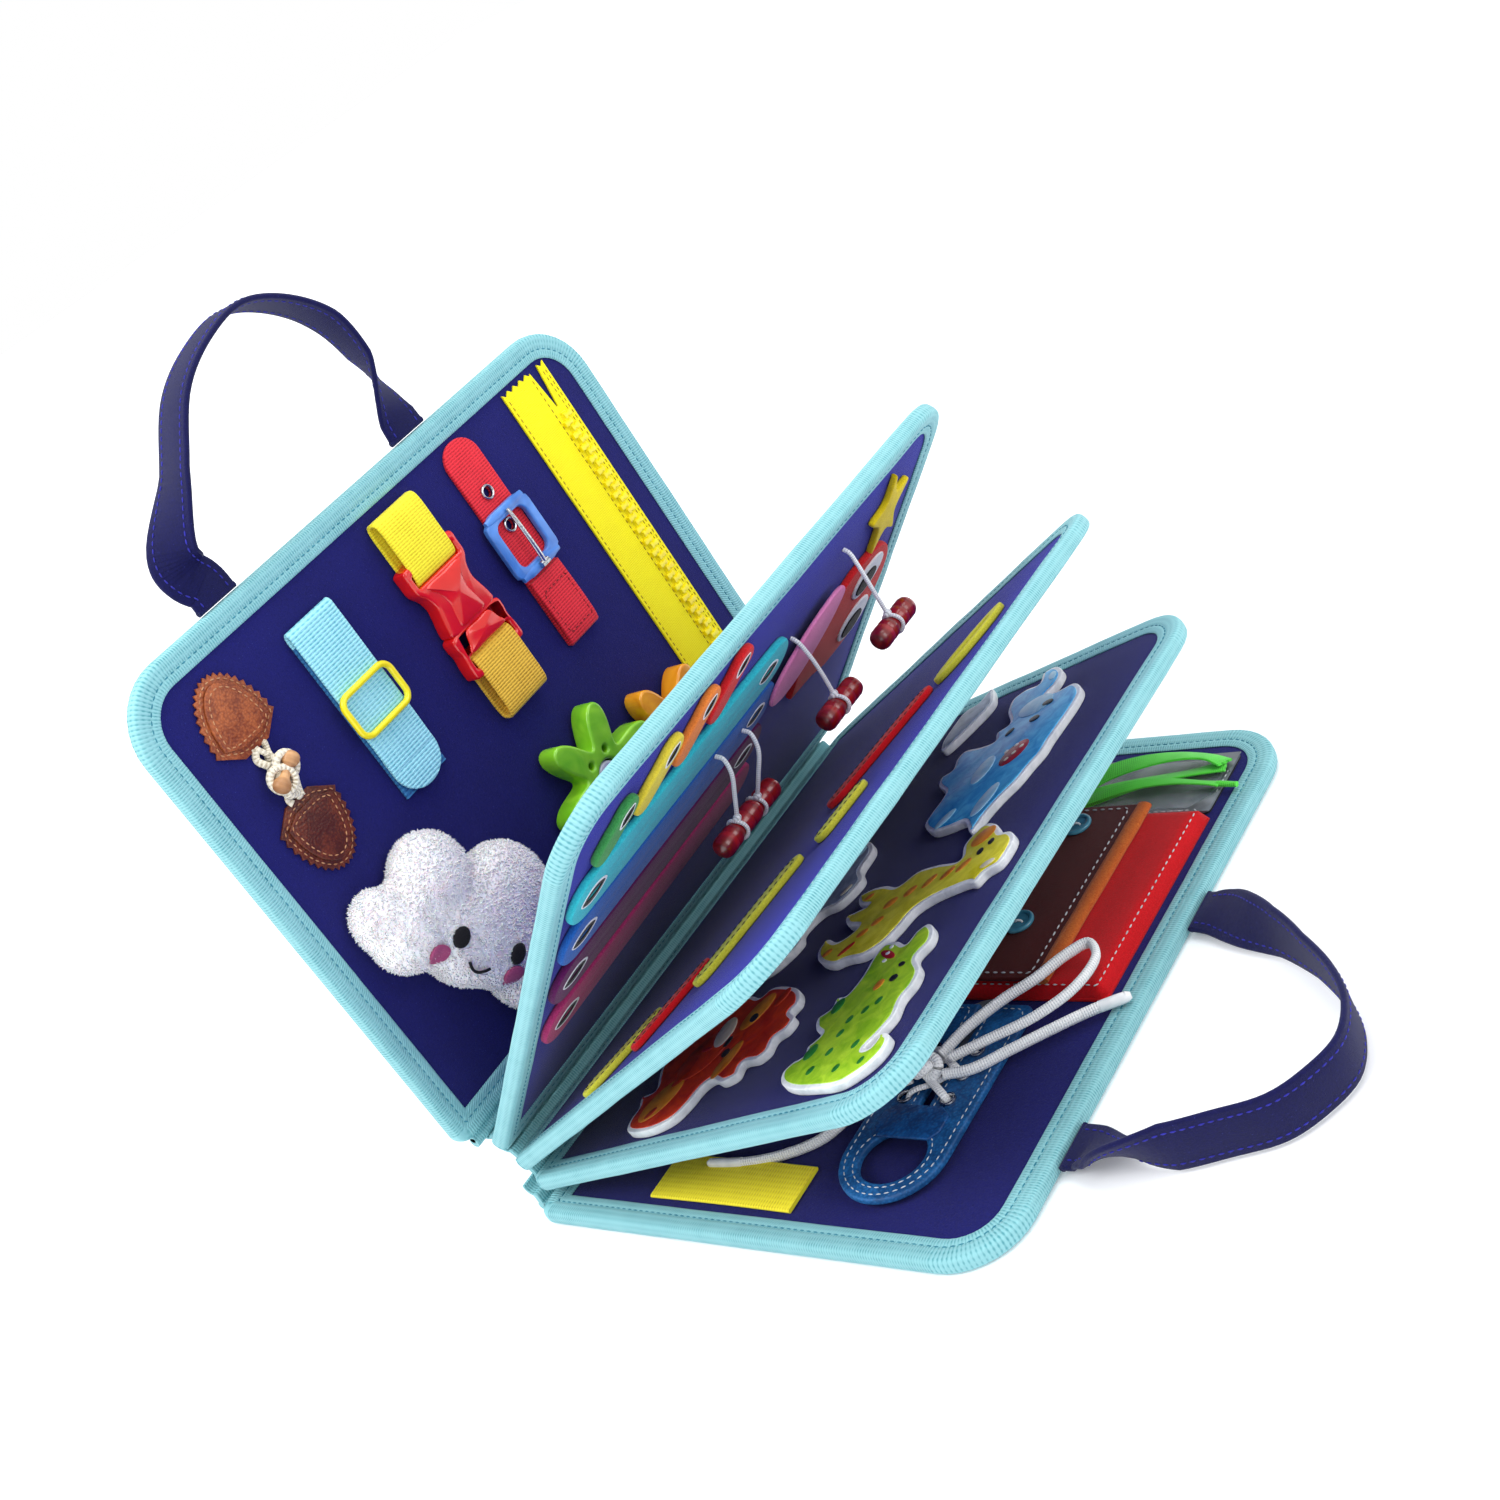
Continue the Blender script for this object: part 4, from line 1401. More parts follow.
def makeArm(name, start, end, shape):
    place = leafPlace("page_1", -1) @ Matrix.Translation((0, 0, boardTop))
    a, b = Vector((start[0], -start[1], 0)), Vector((end[0], -end[1], 0))
    turned = place @ Matrix.Translation(a) @ (b - a).to_track_quat("X", "Z").to_matrix().to_4x4()
    length = (b - a).length
    isLong = length > shape["longFrom"]
    root, tip = (width / 2 for width in shape["long" if isLong else "short"])
    upper = [(length * share, root + (tip - root) * share + 0.25 * math.sin(7 * share))
             for share in (i / 12 for i in range(1, 12))]
    loop = [(x, -y) for x, y in upper]
    loop += [(length + tip * math.cos(angle), tip * math.sin(angle))
             for angle in (math.radians(9 * i - 90) for i in range(21))]
    loop += upper[::-1]
    loop += [(root * math.cos(angle), root * math.sin(angle))
             for angle in (math.radians(9 * i + 90) for i in range(21))]
    ends = [(length - 1, 1.5 if isLong else 1)]
    if isLong and name in ("cyan", "blue", "purple"):
        ends.append((3, 1.3))
    opening, patch, rim = shape["slot"], shape["patch"], shape["rim"]

    # an almond at each end's slot, drawn to a size and shifted towards the tip
    def almonds(size, shift=0):
        return [almond(x + shift, size[0] * scale, size[1] * scale) for x, scale in ends]
    finishPiece(f"arm_{name}_felt", plateMesh([loop] + almonds(opening), 0, shape["thick"], 1.1, 3),
                "arm_" + name, turned, "page_1",
                "felt_arm_" + name, stands="arm_" + name)
    top = shape["thick"] - 0.1
    rims = [plateMesh(pair, top, 0.35, 0.1) for pair in zip(almonds(rim), almonds(patch, 0.3))]
    finishPiece(f"arm_{name}_rim", joinMeshes(rims), "whiteFelt", turned, "page_1", "felt_arm_" + name)
    patches = [plateMesh(pair, top, 0.3, 0.1) for pair in zip(almonds(patch, 0.3), almonds(opening))]
    finishPiece(f"arm_{name}_slot", joinMeshes(patches), "blackFelt", turned, "page_1", "felt_arm_" + name)


def makeHead(shape):
    half, foot = shape["head"] / 2, shape["headLength"] - shape["head"] / 2
    loop = [(-half * 0.72, 0), (half * 0.72, 0), (half * 0.8, foot * 0.42), (half, foot * 0.72)]
    loop += [(half * math.cos(math.pi * i / 24), foot + half * math.sin(math.pi * i / 24)) for i in range(25)]
    loop += [(-half, foot * 0.72), (-half * 0.8, foot * 0.42)]
    place = spot("page_1", -1, *shape["at"], 0, 180)
    finishPiece("octopus_head_felt", plateMesh([loop], 0, shape["thick"], 1.0, 3), "arm_red", place, "page_1",
                "felt_red", stands="octopus_head")
    thick = shape["thick"]
    for name, x in shape["eyes"].items():
        for felt, loop, lift, rise, rounding in (("white", oval(x, foot + 6, 10, 13), thick - 0.1, 0.9, 0.35),
                                                 ("black", oval(x + 1, foot + 4, 6, 8.5), thick + 0.7, 0.7,
                                                  0.25)):
            finishPiece(f"eye_{name}_{felt}", plateMesh([loop], lift, rise, rounding), felt + "Felt", place,
                        "page_1",
                        "felt_red")
    star, mantle = shape["star"], shape["mantle"]
    points = []
    for i in range(10):
        reach = star["valley"] if i % 2 else star["reach"]
        points.append((reach * star["stretch"] * math.cos(math.pi * i / 5),
                       reach * math.sin(math.pi * i / 5)))
    finishPiece("crown_star", plateMesh([smoothLoop(points, 80)], 0, star["thick"], 0.9, 3), "yellowFelt",
                spot("page_1", -1, *star["place"], 0, star["turn"]), "page_1", "felt_red")
    loop = smoothOutline(mantle["shares"], mantle["length"], mantle["height"])
    finishPiece("pink_mantle", plateMesh([loop], thick + 0.1, mantle["thick"], 0.8, 3), "pinkFelt",
                spot("page_1", -1, *mantle["place"], 0, mantle["turn"]), "page_1", "felt_red")


for armName, (armStart, armEnd) in arms.items():
    makeArm(armName, armStart, armEnd, octopusShape)
makeHead(octopusShape)
print("pages 1 and 2 dressed")

# Left cover: fasteners to learn on

zipShape = {"u": 117.3, "v": 107.3, "length": 199, "width": 31, "thick": 1.2, "chain": -8, "split": 20,
            "splitWidth": 4,
            "pitch": 3.2, "rise": 2.2, "offset": 0.9, "notches": 7, "notch": 2}


def makeZip(shape):
    half = (shape["length"] / 2, shape["width"] / 2)
    loop = [(-half[0], -half[1])]
    count = 2 * shape["notches"]
    for i in range(count + 1):
        out = shape["notch"] if i % 2 else 0
        loop.append((half[0] - out, -half[1] + shape["width"] * i / count))
    loop.append((-half[0], half[1]))
    low, high = shape["chain"] - shape["splitWidth"] / 2, shape["chain"] + shape["splitWidth"] / 2
    ahead = [p for p in loop if p[0] > 0 and p[1] > high + 0.3]
    cut = [(-half[0], -half[1])] + [p for p in loop[1:-1] if p[1] < low - 0.3]
    cut += [(half[0] - 1, low - 0.9), (half[0] - shape["split"], shape["chain"] - 0.4),
            (half[0] - shape["split"], shape["chain"] + 0.4),
            (half[0] - 1, high + 0.9)] + ahead + [(-half[0], half[1])]
    place = spot("left_cover", -1, shape["u"], shape["v"])
    at = (place, "left_cover", "zip_yellow")
    finishPiece("zip_cloth", plateMesh([cut], 0, shape["thick"], 0.35), "yellowZip", *at, stands="zip_tape")
    start, end = -half[0] + 10, half[0] - shape["split"] - 3
    cordMesh = sweepMesh([(start + (end - start) * i / 30, shape["chain"], 1.6) for i in range(31)],
                         ovalSection(3.4, 1.8, 10), (0, 1, 0))
    finishPiece("zip_core", cordMesh, "yellowZip", *at, 60)
    loops = [(-1.25, -2.7), (1.25, -2.7), (1.25, -0.6), (0.75, 0.2), (1.35, 1.2), (1.1, 2.2), (-1.1, 2.2),
             (-1.35, 1.2), (-0.75, 0.2),
             (-1.25, -0.6)]
    tooth = newObject("tooth", plateMesh([loops], 0.9, shape["rise"], 0.35, 1))
    chain = bpy.data.meshes.new("chain")
    chain.from_pydata([(start + 2, shape["chain"], 0), (end - 2, shape["chain"], 0)], [(0, 1)], [])
    mesh = grow(chain, teethTree,
                {"Pitch": shape["pitch"], "Tooth": tooth, "Offset": shape["offset"],
                 "Plastic": materials["yellowTeeth"]})
    bpy.data.objects.remove(tooth)
    finishPiece("zip_teeth", mesh, "yellowTeeth", *at, 38, False)
    edges = [[(-half[0] + 2, y, 1.25), (half[0] - 5, y, 1.25)]
             for y in (-half[1] + 1.6, half[1] - 1.6, shape["chain"] - 4.2, shape["chain"] + 4.2)]
    sewStitches("zip_seam", edges, "ochreThread", *at, 3.0, 2.1, 0.24)


sliderShape = {"u": 39.1, "v": 115.3, "lift": 1.5}


def makeSlider(shape):
    place = spot("left_cover", -1, shape["u"], shape["v"], shape["lift"])
    body = [plateMesh([roundedBox(-6.5, 6.5, y0, y1, 1.2)], 0, 4.4, 0.5) for y0, y1 in ((-5, -3.2), (3.2, 5))]
    lid = smoothOutline([(0, 0.2), (0, 0.8), (0.3, 1), (0.62, 0.96), (1, 0.72), (1, 0.28), (0.62, 0.04),
                         (0.3, 0)], 13, 10)
    body.append(plateMesh([lid], 2.75, 2.1, 0.6, 3))
    body.append(sweepMesh(smoothPath([(-4, 0, 4.6), (-2.5, 0, 6.4), (1.5, 0, 6.4), (3.5, 0, 4.6)], 20),
                          ovalSection(2.6, 1.4), (0, 1, 0)))
    pull = plateMesh([roundedBox(-26.5, -3, -3.5, 3.5, 3.3, 1.2), roundedBox(-25, -17, -1.9, 1.9, 1.7),
                      roundedBox(-8.5, -4.6, -1.9, 1.9, 1.2)], 4.9, 1.4, 0.5)
    body.append(pull)
    finishPiece("slider_body", joinMeshes(body), "yellowTeeth", place, "zip_slider", "plastic_yellow",
                stands="zip_slider")


beltShape = {"u": 166.5, "v": 54.2, "length": 101, "width": 21, "thick": 2, "holes": (24.5, 7.5),
             "doubled": 33,
             "hole": 2.3, "eyelet": 2.9, "frameU": 167, "frameLift": 2.3, "prongBack": 14.3, "prongLift": 7.2}


def makeBelt(shape):
    place = spot("left_cover", -1, shape["u"], shape["v"])
    at = (place, "left_cover", "webbing_red")
    half = (shape["length"] / 2, shape["width"] / 2)
    holes = [oval(x, 0, shape["hole"], shape["hole"]) for x in shape["holes"]]
    strap = plateMesh([roundedBox(-half[0], half[0], -half[1], half[1], 0.8, half[1] * 0.92)] + holes, 0,
                      shape["thick"], 0.6, 3)
    fold = sweepMesh(smoothPath([(-half[0] + shape["doubled"], 0, 2.9), (-half[0] + 14, 0, 3.6),
                                 (-half[0] + 3, 0, 3.3), (-half[0] + 0.6, 0, 2.4),
                                 (-half[0] + 1.6, 0, 1.2)], 24), strapSection(shape["width"], 1.9), (0, 1, 0))
    finishPiece("belt_webbing", joinMeshes([strap, fold]), "redWebbing", *at, 50, stands="belt_strap")
    hoops = [hoopMesh(x, 0, shape["thick"] + 0.15, shape["eyelet"], 1.0, 0.7) for x in shape["holes"]]
    finishPiece("belt_eyelets", joinMeshes(hoops), "nickel", place, "left_cover", "metal_nickel")
    frameLoop = [(-16.5, -9), (-12.5, -15), (12.5, -15), (16.5, -9), (16.5, 9), (12.5, 15), (-12.5, 15),
                 (-16.5, 9)]
    window = roundedBox(-11.2, 11.2, -10.0, 10.0, 4.2)
    framePlace = spot("left_cover", -1, shape["frameU"], shape["v"], shape["frameLift"])
    edged = [(a[0] + (b[0] - a[0]) * s, a[1] + (b[1] - a[1]) * s)
             for a, b in zip(frameLoop, frameLoop[1:] + frameLoop[:1]) for s in (0.08, 0.5, 0.92)]
    frameMesh = plateMesh([edged, window], 0, 3.2, 0.9, 3)
    bars = [sweepMesh([(x, y, 2.2) for y in (-13, -9, -4, 0, 4, 9, 13)], ovalSection(4.2, 3.0), (1, 0, 0),
                      [0.75, 0.95, 1.05, 1.08, 1.05, 0.95, 0.75]) for x in (-14.2, 14.2)]
    finishPiece("buckle_ring", joinMeshes([frameMesh] + bars), "bluePlastic", framePlace, "left_cover",
                "plastic_blue", stands="buckle_frame")
    prongPlace = spot("left_cover", -1, shape["frameU"] - shape["prongBack"], shape["v"], shape["prongLift"])
    roll = sweepMesh([(0, y, 0) for y in (-2.4, -1.5, 0, 1.5, 2.4)], circle(1.6, 14), (0, 0, 1))
    path = smoothPath([(0, 0, 0.4), (8, 0, 0.7), (18, 0, 0.5), (25, 0, 0.1), (28.4, 0, -0.3)], 24)
    pin = sweepMesh(path, ovalSection(2.4, 1.9), (0, 1, 0), [1.1 - 0.35 * i / 24 for i in range(24)] + [0.5])
    finishPiece("buckle_pin", joinMeshes([roll, pin]), "nickel", prongPlace, "buckle_prong", "metal_nickel",
                60, stands="buckle_prong")
    inner = half[1] - 2.5
    box = [(x - half[0], y, z) for x, y,
           z in ((5, -inner, 4.55), (26, -inner, 4.2), (26, inner, 4.2), (5, inner, 4.55))]
    sewStitches("belt_seam", [box], "darkRedThread", *at, 3.0, 2.1, 0.28, True)


releaseShape = {
    "u": 157.6, "v": 5.8, "thick": 9, "webbing": 26, "tape": 1.6, "loop": 32, "gap": 0.2,
    "loops": {"upper": (41.12, "yellowWebbing", "webbing_yellow", "left_cover"),
              "lower": (-26.56, "ochreWebbing", "webbing_ochre", "release_plug")},
}


# A shell that swells from a flat outline: rings drawn in step by step as the height grows
def swollenMesh(loop, bottom, top, crown, edge=1.4, centre=(0, 0)):
    cx, cy = centre
    steps = [(edge * 0.7, bottom), (0.0, bottom + edge), (0.0, top - edge), (edge * 0.35, top - edge * 0.3),
             (edge, top)]
    rings = [[(x, y, z) for x, y in (drawnIn(loop, d) if d else loop)] for d, z in steps]
    inner = drawnIn(loop, edge)
    for share in (0.8, 0.55, 0.3, 0.08):
        height = top + crown * (1 - share ** 2)
        rings.append([(cx + (x - cx) * share, cy + (y - cy) * share, height) for x, y in inner])
    return skinMesh(rings, [0.0] + [i * 2.0 for i in range(1, len(rings))])


def webbingLoopMesh(length, height, tape, width):
    path = []
    for i in range(41):
        angle = 2 * math.pi * i / 40
        c, s = math.cos(angle), math.sin(angle)
        x = (length - tape) / 2 * (abs(c) ** 0.35) * (1 if c >= 0 else -1)
        z = height / 2 + (height - tape) / 2 * (abs(s) ** 0.55) * (1 if s >= 0 else -1)
        path.append((x, 0, z))
    return sweepMesh(path[:-1], strapSection(width, tape), (0, 1, 0), closed=True)


def makeRelease(shape):
    place = spot("left_cover", -1, shape["u"], shape["v"])
    thick = shape["thick"]
    for name, (x, finish, slot, body) in shape["loops"].items():
        mesh = webbingLoopMesh(shape["loop"], thick + 0.2, shape["tape"], shape["webbing"])
        mesh.transform(Matrix.Translation((x, 0, 0.05)))
        finishPiece(f"loop_{name}_webbing", mesh, finish, place, body, slot, 50,
                    stands=f"release_loop_{name}")
    outline = mirrored([(0.2, -14.2), (4, -14.4), (9, -13.2), (14, -12.2), (19, -13.4), (23.5, -16.2),
                        (29, -16.5),
                        (33.6, -16.3), (34.7, -14)])
    slot = roundedBox(24.9, 30.5, -13.6, 13.6, 1.0)
    parts = [plateMesh([smoothLoop(outline, 144), slot], 0, thick, 1.6, 4)]
    wedge = [(1.2, -7.6), (6, -7.4), (12, -6.2), (18, -7.8), (23.2, -11.4), (23.6, 0), (23.2, 11.4),
             (18, 7.8), (12, 6.2), (6, 7.4),
             (1.2, 7.6), (0.7, 0)]
    parts.append(swollenMesh(smoothLoop(wedge, 60), thick - 1.2, thick + 0.9, 1.1, 1.1, (13, 0)))
    finishPiece("socket_shell", joinMeshes(parts), "redPlastic",
                place @ Matrix.Translation((shape["gap"], 0, 0)), "left_cover", "plastic_red", 42,
                stands="release_socket")
    base = mirrored([(-20.1, -14), (-19.2, -16.2), (-14, -16.5), (-8, -15.8), (-4, -16.4), (0, -15.6)])
    parts = [plateMesh([smoothLoop(base, 96), roundedBox(-16, -10.4, -13.6, 13.6, 1.0)], 0, thick, 1.6, 4)]
    panel = [(-9.4, -12), (-6, -10.2), (-0.9, -7.8), (-0.6, 0), (-0.9, 7.8), (-6, 10.2), (-9.4, 12),
             (-9.8, 0)]
    parts.append(swollenMesh(smoothLoop(panel, 48), thick - 1.2, thick + 0.9, 1.0, 1.0, (-5.2, 0)))
    for y in (-9.3, 0, 9.3):
        parts.append(plateMesh([roundedBox(-1.5, 14.6, y - 2.4, y + 2.4, 0.8, 1.6)], 2.25, 4.5, 0.7, 2))
    finishPiece("plug_shell", joinMeshes(parts), "redPlastic",
                place @ Matrix.Translation((-shape["gap"], 0, 0)), "release_plug", "plastic_red", 42,
                stands="release_plug")


cinchShape = {"u": 163.3, "v": -55.1, "length": 84, "width": 26, "tape": 1.6, "ringU": 162.4, "ringLift": 5.1,
              "ring": (9.4, 14.4), "corner": 4.5}


def makeCinch(shape):
    place = spot("left_cover", -1, shape["u"], shape["v"])
    at = (place, "left_cover", "webbing_aqua")
    half = shape["length"] / 2
    top = smoothPath([(-half + 13, 0, 3.4), (-half + 26, 0, 3.8), (-4, 0, 3.9), (8, 0, 3.8), (24, 0, 3.9),
                      (half - 6, 0, 3.9),
                      (half - 2, 0, 3.7), (half - 0.9, 0, 2.5), (half - 2.4, 0, 1.1), (half - 7, 0, 0.9)], 60)
    strap = sweepMesh(top, strapSection(shape["width"], shape["tape"]), (0, 1, 0))
    wide, long = shape["width"] / 2, shape["ring"]
    tipLoop = roundedBox(-half - 0.5, -half + 20, -wide, wide, 12.4, 0.8)
    tip = plateMesh([tipLoop], 2.6, 1.5, 0.5)
    finishPiece("cinch_webbing", joinMeshes([strap, tip]), "aquaWebbing", *at, 50, stands="cinch_strap")
    lower = sweepMesh([(half - 6 - x, 0, 0.9) for x in range(0, 78, 7)],
                      strapSection(shape["width"], shape["tape"]), (0, 1, 0))
    finishPiece("cinch_under", lower, "deepAquaWebbing", *at, 50)
    ringPlace = spot("left_cover", -1, shape["ringU"], shape["v"], shape["ringLift"])
    path = [(x, y, 1.5) for x, y in roundedBox(-long[0], long[0], -long[1], long[1], shape["corner"])]
    hoop = sweepMesh(path, oval(0, 0, 1.5, 1.4, 0, 14), (0, 0, 1), closed=True)
    finishPiece("cinch_hoop", hoop, "yellowPlastic", ringPlace, "cinch_ring", "plastic_yellow", 60,
                stands="cinch_ring")


tabShape = {
    "length": 37, "width": 33, "thick": 1.3, "teeth": 20, "tooth": 1.5, "v": -106.4,
    "tabs": {"upper": (198.5, 0, "brownLeather", "leather_brown"),
             "lower": (137.1, 180, "darkLeather", "leather_dark")},
}


def makeTabs(shape):
    for name, (u, turn, leather, slot) in shape["tabs"].items():
        place = spot("left_cover", -1, u, shape["v"], 0, turn)
        at = (place, "left_cover", slot)
        steps = 2 * shape["teeth"]

        def half(inset, tooth):
            points = []
            for i in range(steps + 1):
                angle = -math.pi / 2 + math.pi * i / steps
                out = tooth if i % 2 else 0
                points.append((math.cos(angle) * (shape["length"] * 0.72 - out - inset)
                               - shape["length"] * 0.3,
                               math.sin(angle) * (shape["width"] / 2 - out - inset)))
            return points + [(-shape["length"] / 2 + inset, shape["width"] * 0.2 - inset * 0.3),
                             (-shape["length"] / 2 + inset, -shape["width"] * 0.2 + inset * 0.3)]

        under = plateMesh([half(0, shape["tooth"])], 0, shape["thick"], 0.35)
        over = plateMesh([half(4.0, 0)], shape["thick"], shape["thick"], 0.5, 3)
        finishPiece(f"tab_{name}_leather", joinMeshes([under, over]), leather, *at,
                    stands="toggle_tab_" + name)
        lines = [[(x, y, 1.45) for x, y in half(2.5, 0)], [(x, y, 2.65) for x, y in half(6.0, 0)]]
        sewStitches(f"tab_{name}_seam", lines, "tanThread", *at, 2.8, 1.9, 0.3, True)


# Three strands of braid, three turns of it over them, and the wooden toggle on top
closureShape = {
    "u": 167.8, "v": -106.4, "strands": (-2.6, 0, 2.6),
    "turns": ((-4.5, 1.5, 0.4), (1.5, -2.0, 2.0), (-1.5, 3.4, 3.4)),
    "toggleAt": (0, 1.0, 8.6), "toggleTurn": 28,
    "toggle": [(0, -8.6), (2.0, -8.4), (3.3, -7.2), (3.6, -5.4), (3.0, -3.6), (2.1, -2.4)], "waist": 1.8,
}


def makeClosure(shape):
    place = spot("left_cover", -1, shape["u"], shape["v"])
    parts = []
    for y in shape["strands"]:
        path = [(x, y + 0.9 * math.sin(x / 1.6 + y), 1.6 + 0.8 * math.cos(x / 1.6 + y * 1.3))
                for x in (i * 0.55 - 13 for i in range(48))]
        parts.append(sweepMesh(path, ovalSection(3.2, 2.2, 8), (0, 1, 0)))
    for i, (cx, cy, turn) in enumerate(shape["turns"]):
        loop = [(cx + 5.0 * math.cos(a), cy + 4.2 * math.sin(a), 5.2 + i * 1.1 + 1.8 * math.sin(a + turn))
                for a in (2 * math.pi * k / 36 for k in range(36))]
        parts.append(sweepMesh(loop, ovalSection(4.2, 3.0, 10), (0, 0, 1), closed=True))
    finishPiece("braid_knot", joinMeshes(parts), "braid", place, "left_cover", "cord_white", 60,
                stands="toggle_closure")
    end = shape["toggle"]
    profile = end + [(shape["waist"], 0)] + mirrored(end)[len(end):]
    smooth = [(p.x, p.y) for p in smoothPath([(r, z, 0) for r, z in profile], 48)]
    turned = Matrix.Rotation(math.radians(shape["toggleTurn"]), 4, "Z")
    lying = place @ Matrix.Translation(shape["toggleAt"]) @ turned @ Matrix.Rotation(math.radians(90), 4, "X")
    finishPiece("wood_toggle", turnedMesh([(max(r, 0), z) for r, z in smooth], 24), "rawWood", lying,
                "left_cover", "wood_toggle", 60)


# The plush cloud: lobes joined, swelled as stuffed cloth, then given its pile and face
cloudShape = {
    "u": 66.7, "v": -78.3, "turn": -147, "depth": 27, "voxel": 3.2, "cap": 5.0, "span": (66, 39),
    "pressure": 4, "frames": 20, "pile": {"Density": 1.0, "Length": 1.35, "Radius": 0.5, "Seed": 7},
    "eye": (3.2, 4.4), "cheek": (4.2, 3.6),
    "lobes": [(-30, 9, 22, 21, 13), (6, 12, 26, 24, 14), (-48, -13, 15, 15, 10), (0, -8, 36, 26, 14),
              (36, -8, 20, 20, 12),
              (-34, -18, 20, 17, 12), (24, -17, 22, 18, 12), (-8, -18, 26, 17, 13)],
    "eyes": [(-20, -14.5), (7, -14.5)], "cheeks": [(-26, -22.5), (9.5, -22.5)], "smile": (-8.5, -25.5),
}


def makeCloud(shape):
    parts = [ballMesh((a, b, c), (x, y, c * 0.82), 22, 14) for x, y, a, b, c in shape["lobes"]]
    holder = newObject("stuffing", joinMeshes(parts))
    remesh = holder.modifiers.new("remesh", "REMESH")
    remesh.mode = "VOXEL"
    remesh.voxel_size = shape["voxel"]
    smooth = holder.modifiers.new("smooth", "SMOOTH")
    smooth.factor = 0.5
    smooth.iterations = 5
    mesh = bakedMesh(holder)
    mesh.transform(Matrix.Scale(mm, 4))
    cloth = newObject("cloth", mesh)
    rest = [v.co.copy() for v in mesh.vertices]
    sewn = cloth.modifiers.new("cloth", "CLOTH")
    sewn.settings.use_pressure = True
    sewn.settings.uniform_pressure_force = shape["pressure"]
    sewn.settings.effector_weights.gravity = 0
    sewn.point_cache.frame_start, sewn.point_cache.frame_end = 1, shape["frames"]
    for step in range(1, shape["frames"] + 1):
        scene.frame_set(step)
    swelled = bakedMesh(cloth)
    scene.frame_set(1)
    for vertex, start in zip(swelled.vertices, rest):
        moved = vertex.co - start
        if moved.length > shape["cap"] * mm:
            vertex.co = start + moved.normalized() * shape["cap"] * mm
    swelled.transform(Matrix.Scale(1 / mm, 4))
    mesh = swelled
    highest = max(v.co.z for v in mesh.vertices)
    for vertex in mesh.vertices:
        if vertex.co.z > 0:
            vertex.co.z *= shape["depth"] / highest
        vertex.co.z = max(vertex.co.z, 0.15)
        span = Vector((vertex.co.x / shape["span"][0], vertex.co.y / shape["span"][1]))
        if span.length > 1:
            pull = 1 / span.length
            vertex.co.x *= 0.5 + 0.5 * pull
            vertex.co.y *= 0.5 + 0.5 * pull
    place = spot("left_cover", -1, shape["u"], shape["v"], 0, shape["turn"])
    at = (place, "left_cover", "plush_white")
    skin = newObject("skin", mesh)
    finer = skin.modifiers.new("finer", "SUBSURF")
    finer.levels = finer.render_levels = 1
    surface = bpy.data.meshes.new("surface")
    work = bmesh.new()
    work.from_mesh(bakedMesh(skin))
    bmesh.ops.recalc_face_normals(work, faces=work.faces)
    work.to_mesh(surface)
    tree = BVHTree.FromBMesh(work)
    work.free()
    surface.materials.append(materials["plush"])
    pile = grow(surface, pileTree, {**shape["pile"], "Pile": materials["plush"]})
    cloud = finishPiece("cloud_plush", pile, "plush", *at, 180, False, stands="plush_cloud")

    def pressed(loop, lift):
        ring = []
        for x, y in loop:
            hit = tree.ray_cast(Vector((x, y, 60)), Vector((0, 0, -1)))[0]
            ring.append((x, y, (hit.z if hit else 20) + lift))
        return ring

    # an embroidered patch that follows the cloud's surface
    def patchMesh(cx, cy, a, b):
        rings = [pressed(oval(cx, cy, a * share, b * share, 0, 24), lift) for share, lift in
                 ((1, 0.2), (1.0, 1.5), (0.86, 1.9), (0.6, 2.05), (0.3, 2.1), (0.05, 2.1))]
        return skinMesh(rings, [0, 1, 2, 3, 4, 5])

    eyes = joinMeshes([patchMesh(x, y, *shape["eye"]) for x, y in shape["eyes"]])
    smileX, smileY = shape["smile"]
    smile = [(smileX + x, smileY + 0.10 * x * x) for x in (-5, -3.6, -2.2, -0.8, 0.8, 2.2, 3.6, 5)]
    line = sweepMesh([tuple(p) for p in pressed(smile, 1.9)], circle(0.65, 8), (0, 0, 1))
    finishPiece("cloud_eyes", joinMeshes([eyes, line]), "blackFelt", *at, 60)
    cheeks = joinMeshes([patchMesh(x, y, *shape["cheek"]) for x, y in shape["cheeks"]])
    finishPiece("cloud_cheeks", cheeks, "blush", *at, 60)


gearShape = {"petals": 6, "lobe": 9, "thick": 12, "hub": 6.5, "places": [(66.7, 13.05), (50.6, 60.9)],
             "base": 1.6,
             "baseRadius": 12, "backlash": 4, "phase": 35, "square": 0.72, "lift": 1.9, "bore": 6.85,
             "dot": 1.5,
             "dotReach": 11.4,
             "hubProfile": [(0, 0), (6.3, 0), (6.3, 11.2), (6.0, 12.2), (5.2, 12.6), (4.4, 12.3), (0, 12.1)]}


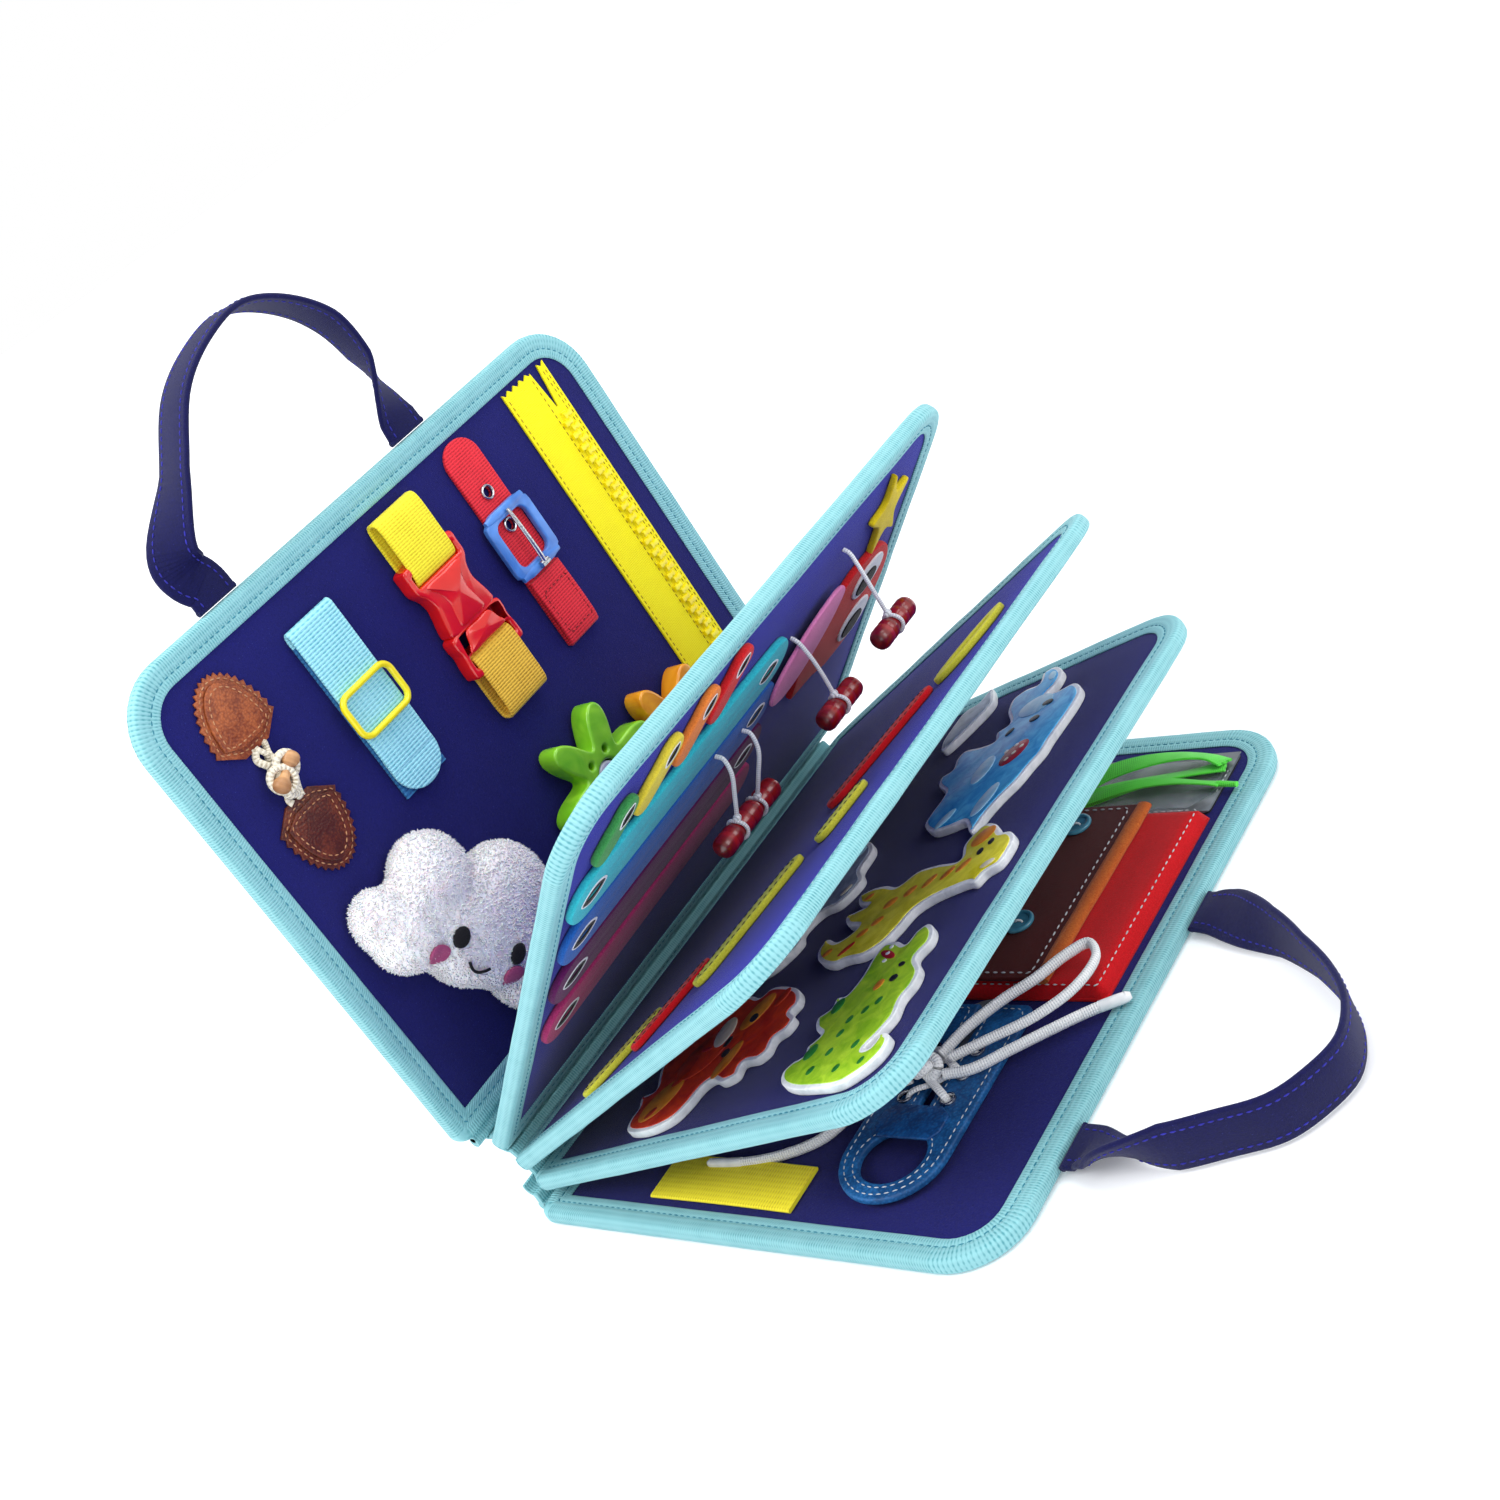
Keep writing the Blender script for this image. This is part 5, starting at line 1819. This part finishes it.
def makeGears(shape):
    first, second = (Vector((u, -v, 0)) for u, v in shape["places"])
    between = second - first
    angle = math.atan2(between.y, between.x)
    mean = (between.length - shape["backlash"]) / 2
    turns = {"green": math.radians(shape["phase"]),
             "orange": 2 * angle - math.pi / shape["petals"] - math.radians(shape["phase"])}
    platePlace = spot("left_cover", -1, *shape["places"][0])
    strip = plateMesh([roundedBox(0, between.length, -shape["hub"], shape["hub"], 1)], 0, shape["base"], 0.4)
    strip.transform(Matrix.Rotation(angle, 4, "Z"))
    parts = [strip]
    hubs = [(0, 0), (between.x, between.y)]
    for x, y in hubs:
        parts.append(plateMesh([oval(x, y, shape["baseRadius"], shape["baseRadius"], 0, 40)], 0,
                               shape["base"], 0.4))
        hub = turnedMesh(shape["hubProfile"], 36)
        hub.transform(Matrix.Translation((x, y, 0)))
        parts.append(hub)
    finishPiece("gear_plate", joinMeshes(parts), "whitePlastic", platePlace, "left_cover", "plastic_white",
                stands="gear_base")
    slots = [plateMesh([roundedBox(x - 1.1, x + 1.1, y - 4.6, y + 4.6, 0.5)], shape["thick"], 0.5, 0.15)
             for x, y in hubs]
    finishPiece("hub_slots", joinMeshes(slots), "darkPlastic", platePlace, "left_cover", "plastic_white")
    for (name, turn), (u, v) in zip(turns.items(), shape["places"]):
        loop = []
        for i in range(180):
            t = 2 * math.pi * i / 180
            wave = math.cos(shape["petals"] * t)
            radius = mean + shape["lobe"] * wave / math.sqrt(wave * wave + shape["square"]
                                                             * (1 - wave * wave))
            loop.append((radius * math.cos(t + turn), radius * math.sin(t + turn)))
        dots = [oval(x, y, shape["dot"], shape["dot"], 0, 14)
                for x, y in oval(0, 0, shape["dotReach"], shape["dotReach"], math.degrees(turn),
                                 shape["petals"])]
        bore = oval(0, 0, shape["bore"], shape["bore"], 0, 48)
        place = spot("left_cover", -1, u, v, shape["lift"])
        finishPiece(name + "_gear", plateMesh([loop, bore] + dots, 0, shape["thick"], 1.5, 4),
                    name + "Plastic", place, "gear_" + name, "plastic_" + name, 50,
                    stands="gear_" + name)


makeZip(zipShape)
makeSlider(sliderShape)
makeBelt(beltShape)
makeRelease(releaseShape)
makeCinch(cinchShape)
makeTabs(tabShape)
makeClosure(closureShape)
makeCloud(cloudShape)
makeGears(gearShape)
print("left cover dressed")

# The table it lies on
floorSize = 4.0
floorDrop = 0.0004                # the table lies a hair below the book, so that the two faces don't flicker
tableCorners = [(x * floorSize, y * floorSize, -floorDrop) for x, y in ((-1, -1), (1, -1), (1, 1), (-1, 1))]
tableMesh = shapeMesh(tableCorners, [(0, 1, 2, 3)])
tableTop = newObject("tableTop", tableMesh)
floorFinish, floorTree, floorShader = startMaterial("paleLaminate",
                                                    {"Roughness": 0.65, "Emission Color": (1, 1, 1, 1)})
floorPlace = addNode(floorTree, "ShaderNodeTexCoord").outputs["Object"]
floorTone = addNode(floorTree, "ShaderNodeTexNoise", {"Scale": 6.0}, {"Vector": floorPlace})
# The table grows as white as the wall behind it, so that its far edge doesn't show
floorFade = {"from": 0.45, "to": 1.3, "near": 0.14, "far": 0.7}
floorReach = addNode(floorTree, "ShaderNodeVectorMath", {"operation": "LENGTH"}, {0: floorPlace})
floorGlow = addNode(floorTree, "ShaderNodeMapRange",
                    {"From Min": floorFade["from"], "From Max": floorFade["to"],
                     "To Min": floorFade["near"],
                     "To Max": floorFade["far"]},
                    {"Value": floorReach.outputs["Value"]})
floorTree.links.new(floorGlow.outputs["Result"], floorShader.inputs["Emission Strength"])
dress(floorTree, floorShader, floorTone.outputs["Fac"], [(0.2, "#f7f8fa"), (0.8, "#fafbfc")],
      floorTone.outputs["Fac"], 0.01)
tableTop.data.materials.append(floorFinish)
